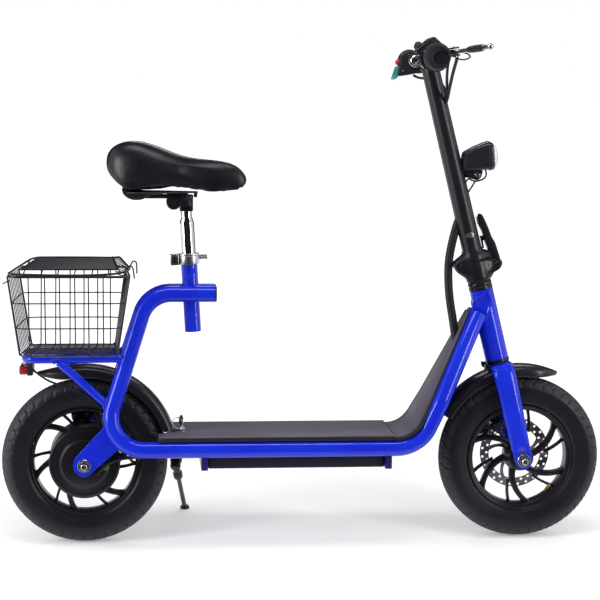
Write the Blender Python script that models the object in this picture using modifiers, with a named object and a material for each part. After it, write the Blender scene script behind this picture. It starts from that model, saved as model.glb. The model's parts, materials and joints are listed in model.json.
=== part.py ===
"""Seated electric scooter with a wire basket, leaning on its kickstand.

The scooter is modelled level, in millimetres: X points forward, Y to the rider's
left, Z up, and the origin is on the ground under the rear axle. At the end the
whole assembly leans LEAN degrees to the left, onto its kickstand, and is centred
over the origin. Each moving body has an empty on its joint's axis.
"""
import math

import bmesh
import bpy
import numpy as np
from mathutils import Matrix, Vector

MM = 0.001
GAP = 0.3

# Driving dimensions, in millimetres and degrees
LEAN = 6.0
WHEEL_RADIUS = 158.75
TYRE_WIDTH = 57.0
WHEELBASE = 849.5
RAKE = 14.0
HEAD_POINT = (767.0, 0.0, 500.0)
TUBE_RADIUS = 15.9
RAIL_SPACING = 75.0
RAIL_HEIGHT = 190.0
SEAT_RAIL_HEIGHT = 482.5
SEAT_RAIL_END = 250.0
SEAT_ANGLE = 3.35
SEAT_POINT = (200.4, 0.0, 541.9)
DECK_TOP = 215.4
DECK_REAR = 150.0
DECK_SEAM = 593.0
DECK_HALF_WIDTH = 87.0
RACK_HEIGHT = 362.0
RACK_REAR = -110.0
RACK_HALF_WIDTH = 59.0
BEAD_RADIUS = 104.0
REAR_OPENING = 97.0
FRONT_OPENING = 93.5
HUB_MOTOR_RADIUS = 68.0
AXLE_TO_HEAD = -351.0
BAR_HEIGHT = 444.0
BAR_BEND = 100.0
BAR_SWEEP = 1.9
BAR_TURN = 3.4
BAR_END = 178.0
BAR_RADIUS = 11.1
GRIP_START = 60.5
GRIP_END = 184.0
FOLD_PIN = (-35.0, 46.0)
LATCH_PIN = (42.0, 30.0)
KICK_PIVOT = (176.0, 72.0, 134.0)
KICK_FOOT = (197.0, 184.0, 20.5)
KICK_FOLDED = (-0.99, 0.13, 0.02)
BASKET_FLOOR = 370.2
BASKET_RIM = 526.0

BLUE = ("blue_paint", (0.012, 0.03, 0.62), 0.22, 0.0)
BLACK_PAINT = ("black_paint", (0.012, 0.012, 0.014), 0.35, 0.0)
BLACK_PLASTIC = ("black_plastic", (0.018, 0.018, 0.02), 0.5, 0.0)
RUBBER = ("rubber", (0.02, 0.02, 0.022), 0.75, 0.0)
CHROME = ("chrome", (0.72, 0.72, 0.74), 0.1, 1.0)
STEEL = ("steel", (0.5, 0.5, 0.52), 0.35, 1.0)
ALLOY = ("cast_alloy", (0.02, 0.02, 0.022), 0.3, 0.6)
LEATHER = ("black_leather", (0.015, 0.015, 0.017), 0.45, 0.0)
TYRE = ("tyre_rubber", (0.02, 0.02, 0.022), 0.8, 0.0)
ALUMINIUM = ("aluminium", (0.6, 0.6, 0.62), 0.35, 1.0)
CELL_WRAP = ("cell_wrap", (0.02, 0.08, 0.35), 0.4, 0.0)
RED = ("red_plastic", (0.6, 0.01, 0.02), 0.2, 0.0)
DARK_LENS = ("dark_lens", (0.01, 0.01, 0.012), 0.1, 0.0)
CLEAR = ("clear_lens", (0.85, 0.87, 0.9), 0.08, 0.0)

LEVEL = Matrix.Identity(4)
SIDE = Matrix.Rotation(math.radians(90), 4, "X")
HEAD = Matrix.Translation(HEAD_POINT) @ Matrix.Rotation(math.radians(-RAKE), 4, "Y")
HEAD_SIDE = HEAD @ SIDE
BAR = HEAD @ Matrix.Rotation(math.radians(-BAR_TURN), 4, "Z")
SEAT = Matrix.Translation(SEAT_POINT) @ Matrix.Rotation(math.radians(-SEAT_ANGLE), 4, "Y")
REAR = Matrix.Translation((0, 0, WHEEL_RADIUS)) @ SIDE
FRONT = Matrix.Translation((WHEELBASE, 0, WHEEL_RADIUS)) @ SIDE

PIVOT = {}
HOME = {}


def metres(frame):
    """The same frame with its place in Blender's metres."""
    scaled = frame.copy()
    scaled.translation = frame.translation * MM
    return scaled


def start_scene():
    """Empty the scene and make the two collections."""
    for obj in list(bpy.data.objects):
        bpy.data.objects.remove(obj, do_unlink=True)
    made = []
    for name in ("electric_scooter", "cutters"):
        group = bpy.data.collections.new(name)
        bpy.context.scene.collection.children.link(group)
        made.append(group)
    return made


PARTS, CUTTERS = start_scene()


def material(finish):
    """One Principled material for each finish."""
    name, colour, roughness, metallic = finish
    found = bpy.data.materials.get(name)
    if found:
        return found
    made = bpy.data.materials.new(name)
    made.use_nodes = True
    shader = made.node_tree.nodes["Principled BSDF"]
    shader.inputs["Base Color"].default_value = (*colour, 1)
    shader.inputs["Roughness"].default_value = roughness
    shader.inputs["Metallic"].default_value = metallic
    made.diffuse_color = (*colour, 1)
    return made


def pivot(name, frame=LEVEL, parent=None):
    """An empty on a body's joint axis, under its parent body's empty."""
    empty = bpy.data.objects.new(name + "_pivot", None)
    empty.empty_display_size = 0.03
    PARTS.objects.link(empty)
    base = Matrix.Identity(4)
    if parent:
        empty.parent = PIVOT[parent]
        base = HOME[parent]
    empty.matrix_basis = metres(base.inverted() @ frame)
    PIVOT[name] = empty
    HOME[name] = frame


def place(mesh, name, body, frame, finish, smooth=40):
    """A named part made of one mesh, carried by its body's pivot."""
    obj = bpy.data.objects.new(name, mesh)
    PARTS.objects.link(obj)
    obj.parent = PIVOT[body]
    obj.matrix_parent_inverse = metres(HOME[body]).inverted()
    obj.matrix_basis = metres(frame)
    obj.data.materials.append(material(finish))
    obj.data.shade_smooth()
    obj.data.set_sharp_from_angle(angle=math.radians(smooth))
    return obj


def tool(mesh, body, frame, group=None):
    """A hidden shape that a Boolean modifier adds or cuts."""
    obj = bpy.data.objects.new("tool", mesh)
    (group or CUTTERS).objects.link(obj)
    obj.parent = PIVOT[body]
    obj.matrix_parent_inverse = metres(HOME[body]).inverted()
    obj.matrix_basis = metres(frame)
    obj.hide_render = True
    obj.display_type = "WIRE"
    return obj


def join(obj, body, frame, *meshes):
    """Weld further shapes onto a part."""
    for mesh in meshes:
        union = obj.modifiers.new("weld", "BOOLEAN")
        union.operation = "UNION"
        union.object = tool(mesh, body, frame)


def cut(obj, body, frame, *meshes):
    """Cut shapes out of a part."""
    for mesh in meshes:
        difference = obj.modifiers.new("cut", "BOOLEAN")
        difference.operation = "DIFFERENCE"
        difference.object = tool(mesh, body, frame)


def from_bmesh(shape):
    """A mesh from a bmesh in millimetres."""
    bmesh.ops.scale(shape, vec=(MM, MM, MM), verts=shape.verts)
    mesh = bpy.data.meshes.new("shape")
    shape.to_mesh(mesh)
    shape.free()
    return mesh


def box(low, high, bevel=0.0):
    """A box between two corners, its edges rounded by one facet."""
    shape = bmesh.new()
    bmesh.ops.create_cube(shape, size=1)
    size = [b - a for a, b in zip(low, high)]
    middle = [(a + b) / 2 for a, b in zip(low, high)]
    bmesh.ops.scale(shape, vec=size, verts=shape.verts)
    bmesh.ops.translate(shape, vec=middle, verts=shape.verts)
    if bevel:
        bmesh.ops.bevel(shape, geom=shape.edges[:], offset=bevel, segments=1, affect="EDGES")
    return from_bmesh(shape)


def turned(profile, steps=32, angle=360.0, start=0.0):
    """Spin a closed loop of (radius, z) points about Z."""
    shape = bmesh.new()
    turn = Matrix.Rotation(math.radians(start), 4, "Z")
    loop = [shape.verts.new(turn @ Vector((r, 0, z))) for r, z in profile]
    edges = [shape.edges.new((a, b)) for a, b in zip(loop, loop[1:] + loop[:1])]
    whole = angle >= 360
    bmesh.ops.spin(shape, geom=loop + edges, axis=(0, 0, 1), cent=(0, 0, 0),
                   angle=math.radians(angle), steps=steps, use_merge=whole)
    bmesh.ops.remove_doubles(shape, verts=shape.verts, dist=0.001)
    if not whole:
        bmesh.ops.holes_fill(shape, edges=[e for e in shape.edges if e.is_boundary], sides=0)
    loose = [e for e in shape.edges if not e.link_faces]
    bmesh.ops.delete(shape, geom=loose, context="EDGES")
    bmesh.ops.recalc_face_normals(shape, faces=shape.faces)
    return from_bmesh(shape)


def from_curve(curve):
    """The mesh of a curve, its caps welded to its sides."""
    holder = bpy.data.objects.new("holder", curve)
    bpy.context.scene.collection.objects.link(holder)
    bpy.context.view_layer.update()
    graph = bpy.context.evaluated_depsgraph_get()
    mesh = bpy.data.meshes.new_from_object(holder.evaluated_get(graph))
    bpy.data.objects.remove(holder, do_unlink=True)
    shape = bmesh.new()
    shape.from_mesh(mesh)
    bmesh.ops.remove_doubles(shape, verts=shape.verts, dist=0.000005)
    bmesh.ops.recalc_face_normals(shape, faces=shape.faces)
    shape.to_mesh(mesh)
    shape.free()
    return mesh


def tube(route, radius, resolution=3):
    """A round bar along a route; radius may be one value or one for each point."""
    curve = bpy.data.curves.new("tube", "CURVE")
    curve.dimensions = "3D"
    curve.bevel_depth = MM
    curve.bevel_resolution = resolution
    curve.use_fill_caps = True
    spline = curve.splines.new("POLY")
    spline.points.add(len(route) - 1)
    radii = radius if isinstance(radius, (list, tuple)) else [radius] * len(route)
    for point, place_at, size in zip(spline.points, route, radii):
        point.co = (*[c * MM for c in place_at], 1)
        point.radius = size
    return from_curve(curve)


def plate(outline, low, high, holes=()):
    """A flat outline in XY, between two heights, with any holes."""
    curve = bpy.data.curves.new("plate", "CURVE")
    curve.dimensions = "2D"
    curve.fill_mode = "BOTH"
    curve.extrude = (high - low) / 2 * MM
    for loop in (outline, *holes):
        spline = curve.splines.new("POLY")
        spline.points.add(len(loop) - 1)
        spline.use_cyclic_u = True
        for point, place_at in zip(spline.points, loop):
            point.co = (place_at[0] * MM, place_at[1] * MM, 0, 1)
    mesh = from_curve(curve)
    mesh.transform(Matrix.Translation((0, 0, (low + high) / 2 * MM)))
    return mesh


def loft(sections):
    """A closed skin through loops of points that have one count."""
    shape = bmesh.new()
    rings = [[shape.verts.new(point) for point in loop] for loop in sections]
    for ring, after in zip(rings, rings[1:]):
        for i in range(len(ring)):
            j = (i + 1) % len(ring)
            shape.faces.new((ring[i], ring[j], after[j], after[i]))
    shape.faces.new(rings[0][::-1])
    shape.faces.new(rings[-1])
    bmesh.ops.recalc_face_normals(shape, faces=shape.faces)
    return from_bmesh(shape)


def circle(radius, count=32, centre=(0, 0), start=0.0):
    """Points round a circle in the plane."""
    turns = [math.radians(start + 360 * i / count) for i in range(count)]
    return [(centre[0] + radius * math.cos(t), centre[1] + radius * math.sin(t)) for t in turns]


def arc(radius, start, end, steps, centre=(0, 0)):
    """Points along an arc in the plane, in degrees."""
    turns = [math.radians(start + (end - start) * i / steps) for i in range(steps + 1)]
    return [(centre[0] + radius * math.cos(t), centre[1] + radius * math.sin(t)) for t in turns]


def rounded(corners, radii, steps=6):
    """A route of straight runs whose corners are arcs."""
    corners = [Vector(c) for c in corners]
    route = [corners[0]]
    for before, corner, after, radius in zip(corners, corners[1:], corners[2:], radii):
        back = (before - corner).normalized()
        ahead = (after - corner).normalized()
        half = back.angle(ahead) / 2
        centre = corner + (back + ahead).normalized() * radius / math.sin(half)
        first = corner + back * radius / math.tan(half) - centre
        last = corner + ahead * radius / math.tan(half) - centre
        turn = first.angle(last)
        for i in range(steps + 1):
            s = i / steps
            mixed = first * math.sin((1 - s) * turn) + last * math.sin(s * turn)
            route.append(centre + mixed / math.sin(turn))
    route.append(corners[-1])
    return route


def smooth_route(points, steps=4):
    """A Catmull-Rom curve through a route's own points."""
    ends = [2 * Vector(points[0]) - Vector(points[1])]
    knots = ends + [Vector(p) for p in points] + [2 * Vector(points[-1]) - Vector(points[-2])]
    route = []
    for a, b, c, d in zip(knots, knots[1:], knots[2:], knots[3:]):
        for i in range(steps):
            t = i / steps
            route.append(0.5 * (2 * b + (c - a) * t + (2 * a - 5 * b + 4 * c - d) * t ** 2
                                + (3 * b - a - 3 * c + d) * t ** 3))
    route.append(Vector(points[-1]))
    return route


def mirrored(points):
    """The same points on the other side of the centre plane."""
    return [(p[0], -p[1], p[2]) for p in points]


def bar_frame(side):
    """The frame of one half of the handlebar: X forward, Z outward along the bar."""
    sweep = math.radians(BAR_SWEEP)
    outward = Vector((-math.sin(sweep), side * math.cos(sweep), 0))
    forward = Vector((math.cos(sweep), side * math.sin(sweep), 0))
    upward = outward.cross(forward)
    turn = Matrix((forward, upward, outward)).transposed().to_4x4()
    return BAR @ Matrix.Translation((0, side * BAR_BEND, BAR_HEIGHT)) @ turn


BAR_RIGHT = bar_frame(-1)
BAR_LEFT = bar_frame(1)


def bar_side(side):
    """The half bar's frame, and the sign of its Y axis that points up."""
    return (BAR_LEFT, -1) if side > 0 else (BAR_RIGHT, 1)


def lever_frame(side):
    """The plane of a brake lever: the half bar's frame, turned down at the front."""
    frame, up = bar_side(side)
    return frame @ Matrix.Rotation(math.radians(-LEVER_DROP * up), 4, "Z")


def make_pivots():
    """The tree of bodies."""
    pivot("frame")
    pivot("rear_wheel", REAR, "frame")
    pivot("steering", HEAD, "frame")
    pivot("front_wheel", FRONT, "steering")
    pivot("stem", HEAD @ Matrix.Translation((FOLD_PIN[0], 0, FOLD_PIN[1])), "steering")
    pivot("fold_latch", HEAD @ Matrix.Translation((LATCH_PIN[0], 0, LATCH_PIN[1])), "steering")
    for side, name in ((-1, "right"), (1, "left")):
        pivot("lever_" + name, lever_frame(side) @ Matrix.Translation(LEVER_PIVOT), "stem")
    pivot("throttle", BAR_RIGHT, "stem")
    pivot("button", BAR_LEFT @ POWER_BUTTON_TURN, "stem")
    pivot("front_brake", FRONT @ caliper_turn(FRONT_CALIPER_ANGLE) @ ARM_PLACE, "steering")
    pivot("rear_brake", REAR @ caliper_turn(REAR_CALIPER_ANGLE) @ ARM_PLACE, "frame")
    pivot("seat", SEAT, "frame")
    pivot("seat_clamp", SEAT @ Matrix.Translation(SEAT_LEVER_PIVOT), "frame")
    pivot("stand", stand_frame(), "frame")
    pivot("lid", lid_frame(), "frame")
    pivot("ignition", Matrix.Translation((KEY_PLACE[0], KEY_PLACE[1], DECK_TOP)), "frame")


LEVER_PIVOT = (38.0, 0.0, 22.0)
LEVER_DROP = 5.0
LEVER_RISE = 8.0
SEAT_LEVER_PIVOT = (-28.0, 18.8, 6.0)
FRONT_CALIPER_ANGLE = 141.0
REAR_CALIPER_ANGLE = 97.0
ARM_PLACE = Matrix.Translation((80.0, 10.0, 0.0))
LID_HINGE = ((-139.5, -116.0, 527.0), (-104.5, 118.0, 527.0))
KEY_PLACE = (185.0, -8.0)
POD_FACE = ((-36.0, 21.5), (-53.0, -16.0))


def caliper_turn(angle):
    """The turn that points X from the axle to the brake caliper."""
    return Matrix.Rotation(math.radians(angle), 4, "Z")


def lid_frame():
    """The lid's frame: Y runs along the hinge on the basket's rear rim."""
    near, far = Vector(LID_HINGE[0]), Vector(LID_HINGE[1])
    turn = math.atan2(near.x - far.x, far.y - near.y)
    return Matrix.Translation((near + far) / 2) @ Matrix.Rotation(turn, 4, "Z")


def button_turn():
    """The frame of the power button: Z points out of the pod's rear face."""
    (x1, y1), (x2, y2) = POD_FACE
    spot = Vector((x1 + 0.35 * (x2 - x1), -(y1 + 0.35 * (y2 - y1)), 44.0))
    along = Vector((x2 - x1, -(y2 - y1), 0)).normalized()
    outward = Vector((0, 0, 1)).cross(along)
    turn = Matrix((Vector((0, 0, 1)), along, outward)).transposed().to_4x4()
    return Matrix.Translation(spot) @ turn


POWER_BUTTON_TURN = button_turn()


def stand_frame():
    """The kickstand's frame: X along the leg, Z on the axis that folds it."""
    leg = (Vector(KICK_FOOT) - Vector(KICK_PIVOT)).normalized()
    axis = leg.cross(Vector(KICK_FOLDED)).normalized()
    third = axis.cross(leg)
    turn = Matrix((leg, third, axis)).transposed().to_4x4()
    return Matrix.Translation(KICK_PIVOT) @ turn


def main_tube(side):
    """One of the twin tubes: seat rail, rear bend, deck rail and front rise."""
    corners = [
        (SEAT_RAIL_END, side * 22, SEAT_RAIL_HEIGHT),
        (122.2, side * 24, SEAT_RAIL_HEIGHT),
        (28.8, side * (RAIL_SPACING + 1), RAIL_HEIGHT),
        (640.7, side * RAIL_SPACING, RAIL_HEIGHT),
        (682.4, side * 70, 277.0),
        (762.0, side * 19, 443.0),
    ]
    return tube(rounded(corners, (60, 63, 70, 90)), TUBE_RADIUS, 4)


def dropout(side):
    """The plate that holds one end of the rear axle."""
    outline = [(-19, 13), (-21, -3), (-16, -14), (-5, -21), (5, -21), (15, -13), (66, 32),
               (74, 60), (40, 77)]
    if side > 0:
        outline += [(-8, 82), (-16, 60)]
    low, high = (60, 66) if side < 0 else (-66, -60)
    return plate(outline, low, high, [circle(6.4, 16)])


def make_main_frame():
    """The welded frame, with its rack, cross plates and dropouts."""
    head_top = -11.0
    head_bottom = -153.0
    head = turned([(23, head_top), (23, head_bottom), (0, head_bottom), (0, head_top)], 28)
    frame = place(head, "main_frame", "frame", HEAD, BLUE)
    group = bpy.data.collections.new("frame_shapes")
    CUTTERS.children.link(group)
    shapes = []
    for side in (-1, 1):
        shapes.append(main_tube(side))
        shapes.append(tube([(-47, side * RACK_HALF_WIDTH, 358), (56, side * 61, 264)], 8, 2))
    loop = [(78, -50), (RACK_REAR, -RACK_HALF_WIDTH), (RACK_REAR, RACK_HALF_WIDTH), (78, 50)]
    shapes.append(tube(rounded([(x, y, RACK_HEIGHT) for x, y in loop], (24, 24), 4), 7.5, 2))
    shapes.append(tube([(178, -72, RAIL_HEIGHT), (178, 72, RAIL_HEIGHT)], 12, 2))
    for low, high in ((222, 235), (576, 589)):
        shapes.append(box((low, -70, 148), (high, 70, 197), 2))
    shapes.append(box((156, 62, 148), (194, 92, 184), 3))
    for shape in shapes:
        tool(shape, "frame", LEVEL, group)
    tool(turned([(15.9, 12), (15.9, -134), (0, -134), (0, 12)], 24), "frame", SEAT, group)
    boss = [(12, 27), (12, 7), (4, 7), (4, -7.3), (8, -7.3), (8, -11), (0, -11), (0, 27)]
    tool(turned(boss, 14), "frame", stand_frame(), group)
    for side in (-1, 1):
        tool(dropout(side), "frame", REAR, group)
    weld = frame.modifiers.new("weld", "BOOLEAN")
    weld.operation = "UNION"
    weld.operand_type = "COLLECTION"
    weld.collection = group
    cut(frame, "frame", HEAD, turned([(17.5, 0), (17.5, -170), (0, -170), (0, 0)], 24))
    cut(frame, "frame", SEAT, turned([(14.3, 20), (14.3, -150), (0, -150), (0, 20)], 24))
    cut(frame, "frame", LEVEL, tube([(560, 0, 172), (600, 0, 172)], 10, 3))


def make_deck():
    """The deck tray, and the bent shield in front of it."""
    width = DECK_HALF_WIDTH
    half = [(width, DECK_TOP - 9), (width, DECK_TOP - 3), (width - 4, DECK_TOP)]
    inner = [(width - 2, DECK_TOP - 9), (width - 2, DECK_TOP - 6.6)]
    outline = [(-y, z) for y, z in half] + [(y, z) for y, z in reversed(half)]
    outline += [inner[0], inner[1]] + [(-y, z) for y, z in reversed(inner)]
    rear = [(DECK_REAR, y, z) for y, z in outline]
    front = [(DECK_SEAM - GAP, y, z) for y, z in outline]
    board = place(loft([rear, front]), "deck_board", "frame", LEVEL, BLACK_PLASTIC)
    cut(board, "frame", LEVEL, box((100, -42, 190), (168, 42, 230)))
    cut(board, "frame", LEVEL, tube([(*KEY_PLACE, 190), (*KEY_PLACE, 230)], 8.4, 4))

    offset = TUBE_RADIUS + 0.5
    thick = 6.6
    route = rounded([(DECK_SEAM, 0, RAIL_HEIGHT), (640.7, 0, RAIL_HEIGHT), (760.0, 0, 438.8)], [70])
    knots = [route[0]] + route[1:-1]
    knots += [route[-2].lerp(route[-1], s) for s in (0.2, 0.4, 0.6, 0.8, 1.0)]
    sections = []
    for i, spot in enumerate(knots):
        before = knots[max(i - 1, 0)]
        after = knots[min(i + 1, len(knots) - 1)]
        along = (after - before).normalized()
        up = Vector((-along.z, 0, along.x))
        rise = max(spot.z - RAIL_HEIGHT, 0) / (438.8 - RAIL_HEIGHT)
        reach = width - 76 * max(rise - 0.13, 0)
        under = spot + up * offset
        over = spot + up * (offset + thick)
        corners = [(-reach, under), (-reach, over - up * 2.5), (-reach + 4, over),
                   (reach - 4, over), (reach, over - up * 2.5), (reach, under)]
        sections.append([(p.x, y, p.z) for y, p in corners])
    shield = place(loft(sections), "front_shield", "frame", LEVEL, BLACK_PLASTIC)
    cut(shield, "frame", LEVEL, tube(bundle_route(), 10.4, 3))


def make_battery():
    """The case under the deck, the cell pack and the motor controller inside it."""
    low = (235.5, -57.5, 152)
    high = (575.5, 57.5, 205.5)
    case = place(box(low, high, 2), "battery_case", "frame", LEVEL, BLACK_PAINT)
    inner_low = tuple(v + 2.5 for v in low)
    cut(case, "frame", LEVEL, box(inner_low, (high[0] - 2.5, high[1] - 2.5, 220)))
    cut(case, "frame", LEVEL, tube([(565, 0, 172), (600, 0, 172)], 10, 3))
    place(box((242, -50, 155), (452, 50, 200), 3), "battery_pack", "frame", LEVEL, CELL_WRAP)
    place(box((462, -40, 155), (548, 40, 186), 3), "motor_controller", "frame", LEVEL,
          ALUMINIUM)


def make_key():
    """The lock in the deck, and the key standing in it."""
    frame = HOME["ignition"]
    barrel = [(6, 7), (9.5, 5), (9.5, 0.4), (8, 0.4), (8, -10.5), (0, -10.5), (0, 7)]
    place(turned(barrel, 20), "key_lock", "frame", frame, STEEL)
    bow = circle(9.5, 16, (0, 21))
    shaft = [(-3.2, 7.4), (3.2, 7.4), (3.2, 16), (-3.2, 16)]
    key = place(plate(bow, -1.2, 1.2, [circle(3, 10, (0, 24))]), "key", "ignition", frame @ SIDE, STEEL)
    join(key, "ignition", frame @ SIDE, plate(shaft, -1.2, 1.2))
    ring = [(9.5 * math.sin(t), 9.5 * math.cos(t)) for t in np.linspace(0.5, 5.8, 15)]
    loop = [(4, 5 + y, 33 + z) for y, z in ring]
    join(key, "ignition", frame, tube([(-1, y, z) for x, y, z in loop], 1.1, 1))


def fender(body, frame, name, radius, half_width, start, end, tip, lift=0.0, flare=0.0):
    """An arched strip over the tyre, narrowed at its free tip."""
    count = round((end - start) / 7)
    sections = []
    for i in range(count + 1):
        angle = math.radians(start + (end - start) * i / count)
        away = (i if tip == start else count - i) / 2.6
        narrow = max(1 - away, 0) ** 2
        wide = half_width * (1 - 0.75 * narrow)
        drop = 21 * (1 - 0.75 * narrow)
        reach = radius + lift * math.sin(angle) + flare * narrow
        outer = [(reach - drop, wide), (reach - 0.42 * drop, 0.93 * wide),
                 (reach - 0.1 * drop, 0.62 * wide), (reach, 0)]
        outer += [(r, -z) for r, z in reversed(outer[:-1])]
        loop = outer + [(r - 2.2, 0.96 * z) for r, z in reversed(outer)]
        sections.append([(r * math.cos(angle), r * math.sin(angle), z) for r, z in loop])
    place(loft(sections), name, body, frame, BLACK_PLASTIC)


def make_tyre(body, frame, name):
    """A pneumatic tyre as one solid ring, with a flat facet on the ground."""
    half = TYRE_WIDTH / 2
    tread = WHEEL_RADIUS / math.cos(math.radians(4.5))
    side = [(BEAD_RADIUS, 20), (118, 25.5), (134, half), (148, 24), (tread - 3, 14.5),
            (tread, TYRE_FACET)]
    profile = side + [(r, -z) for r, z in reversed(side)]
    place(turned(profile, 40, 360, 4.5), name, body, frame, TYRE)


def spoke_windows(inner, outer, first):
    """The openings beside six pairs of swept spokes, and the slot inside each pair."""
    def thick(radius, edge):
        centre = first + 5 + 0.514 * (radius - 24)
        return circle(radius, 1, start=centre + edge * math.degrees(6.5 / radius))

    def thin(radius, edge):
        centre = first + 19.8 - 0.28 * (95 - radius)
        return circle(radius, 1, start=centre + edge * math.degrees(2.8 / radius))

    windows = []
    radii = np.linspace(inner, outer, 5)
    for k in range(6):
        rear = [thick(r, 1)[0] for r in radii]
        front = [(thin if r > 54 else thick)(r, -1)[0] for r in radii]
        low = first + 5 + 0.514 * (outer - 24) - 60 + math.degrees(6.5 / outer)
        high = first + 19.8 - 0.28 * (95 - outer) - math.degrees(2.8 / outer)
        back = Matrix.Rotation(math.radians(-60), 2)
        rear = [tuple(back @ Vector(p)) for p in rear]
        loop = rear + arc(outer, low, high, 4)[1:-1] + front[::-1]
        slot_radii = np.linspace(max(inner, 57), outer - 1.5, 3)
        slot = [thin(r, 1)[0] for r in slot_radii] + [thick(r, -1)[0] for r in slot_radii[::-1]]
        turn = Matrix.Rotation(math.radians(60 * k), 2)
        windows += [[tuple(turn @ Vector(p)) for p in shape] for shape in (loop, slot)]
    return windows


def make_rear_wheel():
    """Hub motor wheel: the turning shell, rim and spokes, its cover, disc and tyre."""
    make_tyre("rear_wheel", REAR, "rear_tyre")
    top = HUB_MOTOR_RADIUS
    shell = [(12, 46), (46, 46), (50, 41.5), (top - 2, 41.5), (top, 39.5), (top, -36), (top - 4, -36),
             (top - 4, 37), (12, 37)]
    rim = place(turned(shell, 28), "rear_rim", "rear_wheel", REAR, ALLOY)
    join(rim, "rear_wheel", REAR, rim_ring(REAR_OPENING),
         spoke_disc(REAR_OPENING, HUB_MOTOR_RADIUS - 2, HUB_MOTOR_RADIUS + 3, -25))
    cover = [(12, -36 - GAP), (top, -36 - GAP), (top, -40), (32, -43), (30, -46.5), (12, -46.5)]
    place(turned(cover, 28), "hub_cover", "rear_wheel", REAR, ALLOY)
    place(brake_disc(-48.8, -46.8), "rear_disc", "rear_wheel", REAR, STEEL)
    stator = [(8.4, 30), (30, 30), (34, 22), (60, 22), (60, -22), (34, -22), (30, -30), (8.4, -30)]
    place(turned(stator, 20), "motor_stator", "frame", REAR, STEEL)
    place(turned(axle_profile(8.0, 47, 59.7, 66.3, 5.9, 11), 14), "rear_axle", "frame", REAR, STEEL)


def rim_ring(opening):
    """The rim's turned ring, under the tyre's beads."""
    edge = BEAD_RADIUS - GAP
    return turned([(opening, 19), (edge - 2, 21), (edge, 19), (edge, -19), (edge - 2, -21),
                   (opening, -19)], 40, 360, 4.5)


def spoke_disc(opening, bore, inner, first):
    """The spokes as one plate with windows, from the hub to the rim."""
    windows = spoke_windows(inner, opening - 1, first)
    return plate(circle(opening + 3, 40), -8, 8, [circle(bore, 28)] + windows)


def brake_disc(low, high):
    """A brake disc with five windows inside its rubbing ring."""
    windows = []
    for k in range(5):
        outer = arc(50, 72 * k + 8, 72 * k + 58, 4)
        inner = arc(31, 72 * k + 52, 72 * k + 14, 3)
        windows.append(outer + inner)
    return plate(circle(69.5, 36), low, high, windows + [circle(12.4, 16)])


def axle_profile(body, shoulder, inner_face, nut_face, thread, spacer):
    """Half a turned axle with shoulders inside the dropouts and nuts outside."""
    side = [(thread, 13 + nut_face), (thread, nut_face + 8.5), (10.5, nut_face + 8), (10.5, nut_face),
            (thread, nut_face), (thread, inner_face), (spacer, inner_face), (spacer, shoulder),
            (body, shoulder)]
    profile = [(0, nut_face + 13)] + side
    return profile + [(r, -z) for r, z in reversed(side)] + [(0, -nut_face - 13)]


def make_front_wheel():
    """Front wheel: tyre, cast rim, brake disc, bearings and axle."""
    make_tyre("front_wheel", FRONT, "front_tyre")
    hub = [(16, 34), (24, 34), (27, 18), (27, -18), (24, -32), (16, -32)]
    rim = place(turned(hub, 28), "front_rim", "front_wheel", FRONT, ALLOY)
    join(rim, "front_wheel", FRONT, rim_ring(FRONT_OPENING), spoke_disc(FRONT_OPENING, 22, 31, 0))
    place(brake_disc(-34.3, -32.3), "front_disc", "front_wheel", FRONT, STEEL)
    races = [(6.3, 28), (15.7, 28), (15.7, 19), (10, 19), (10, -19), (15.7, -19), (15.7, -28), (6.3, -28)]
    place(turned(races, 20), "front_bearings", "front_wheel", FRONT, STEEL)
    place(turned(axle_profile(6.0, 28.4, 50.6, 58.4, 5.9, 8.5), 14), "front_axle", "steering",
          FRONT, STEEL)


def make_fork():
    """Fork with a flat crown and two tapered blades, and its headset."""
    steerer = [(14, 40), (14, -166), (0, -166), (0, 40)]
    fork = place(turned(steerer, 24), "fork", "steering", HEAD, BLUE)
    join(fork, "steering", HEAD, box((-21, -46, -167.2), (21, 46, -160.4), 2.5))
    stations = [(-161.5, 40, 19, 10), (-175, 47, 22, 12), (-200, 52, 21, 11), (-260, 53, 20, 10),
                (-318, 53.5, 18.5, 8.5), (-334, 54.5, 17.5, 3.6), (-366, 54.5, 13, 3.6)]
    for side in (-1, 1):
        blade = []
        for z, y, wide, deep in stations:
            shift = -2.5 * (z + 160) / -190
            ring = circle(1, 14)
            blade.append([(shift + wide * u, side * y + deep * v, z) for u, v in ring])
        join(fork, "steering", HEAD, loft(blade))
    cut(fork, "steering", FRONT, tube([(0, 0, -70), (0, 0, 70)], 6.4, 4))
    collars = [(14.4, 4.5), (22, 4.5), (23, 2), (23, -10.7), (17.2, -10.7), (17.2, -153.3),
               (23.5, -153.3), (23.5, -160), (14.4, -160)]
    place(turned(collars, 24), "headset", "frame", HEAD, BLACK_PAINT)


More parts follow.
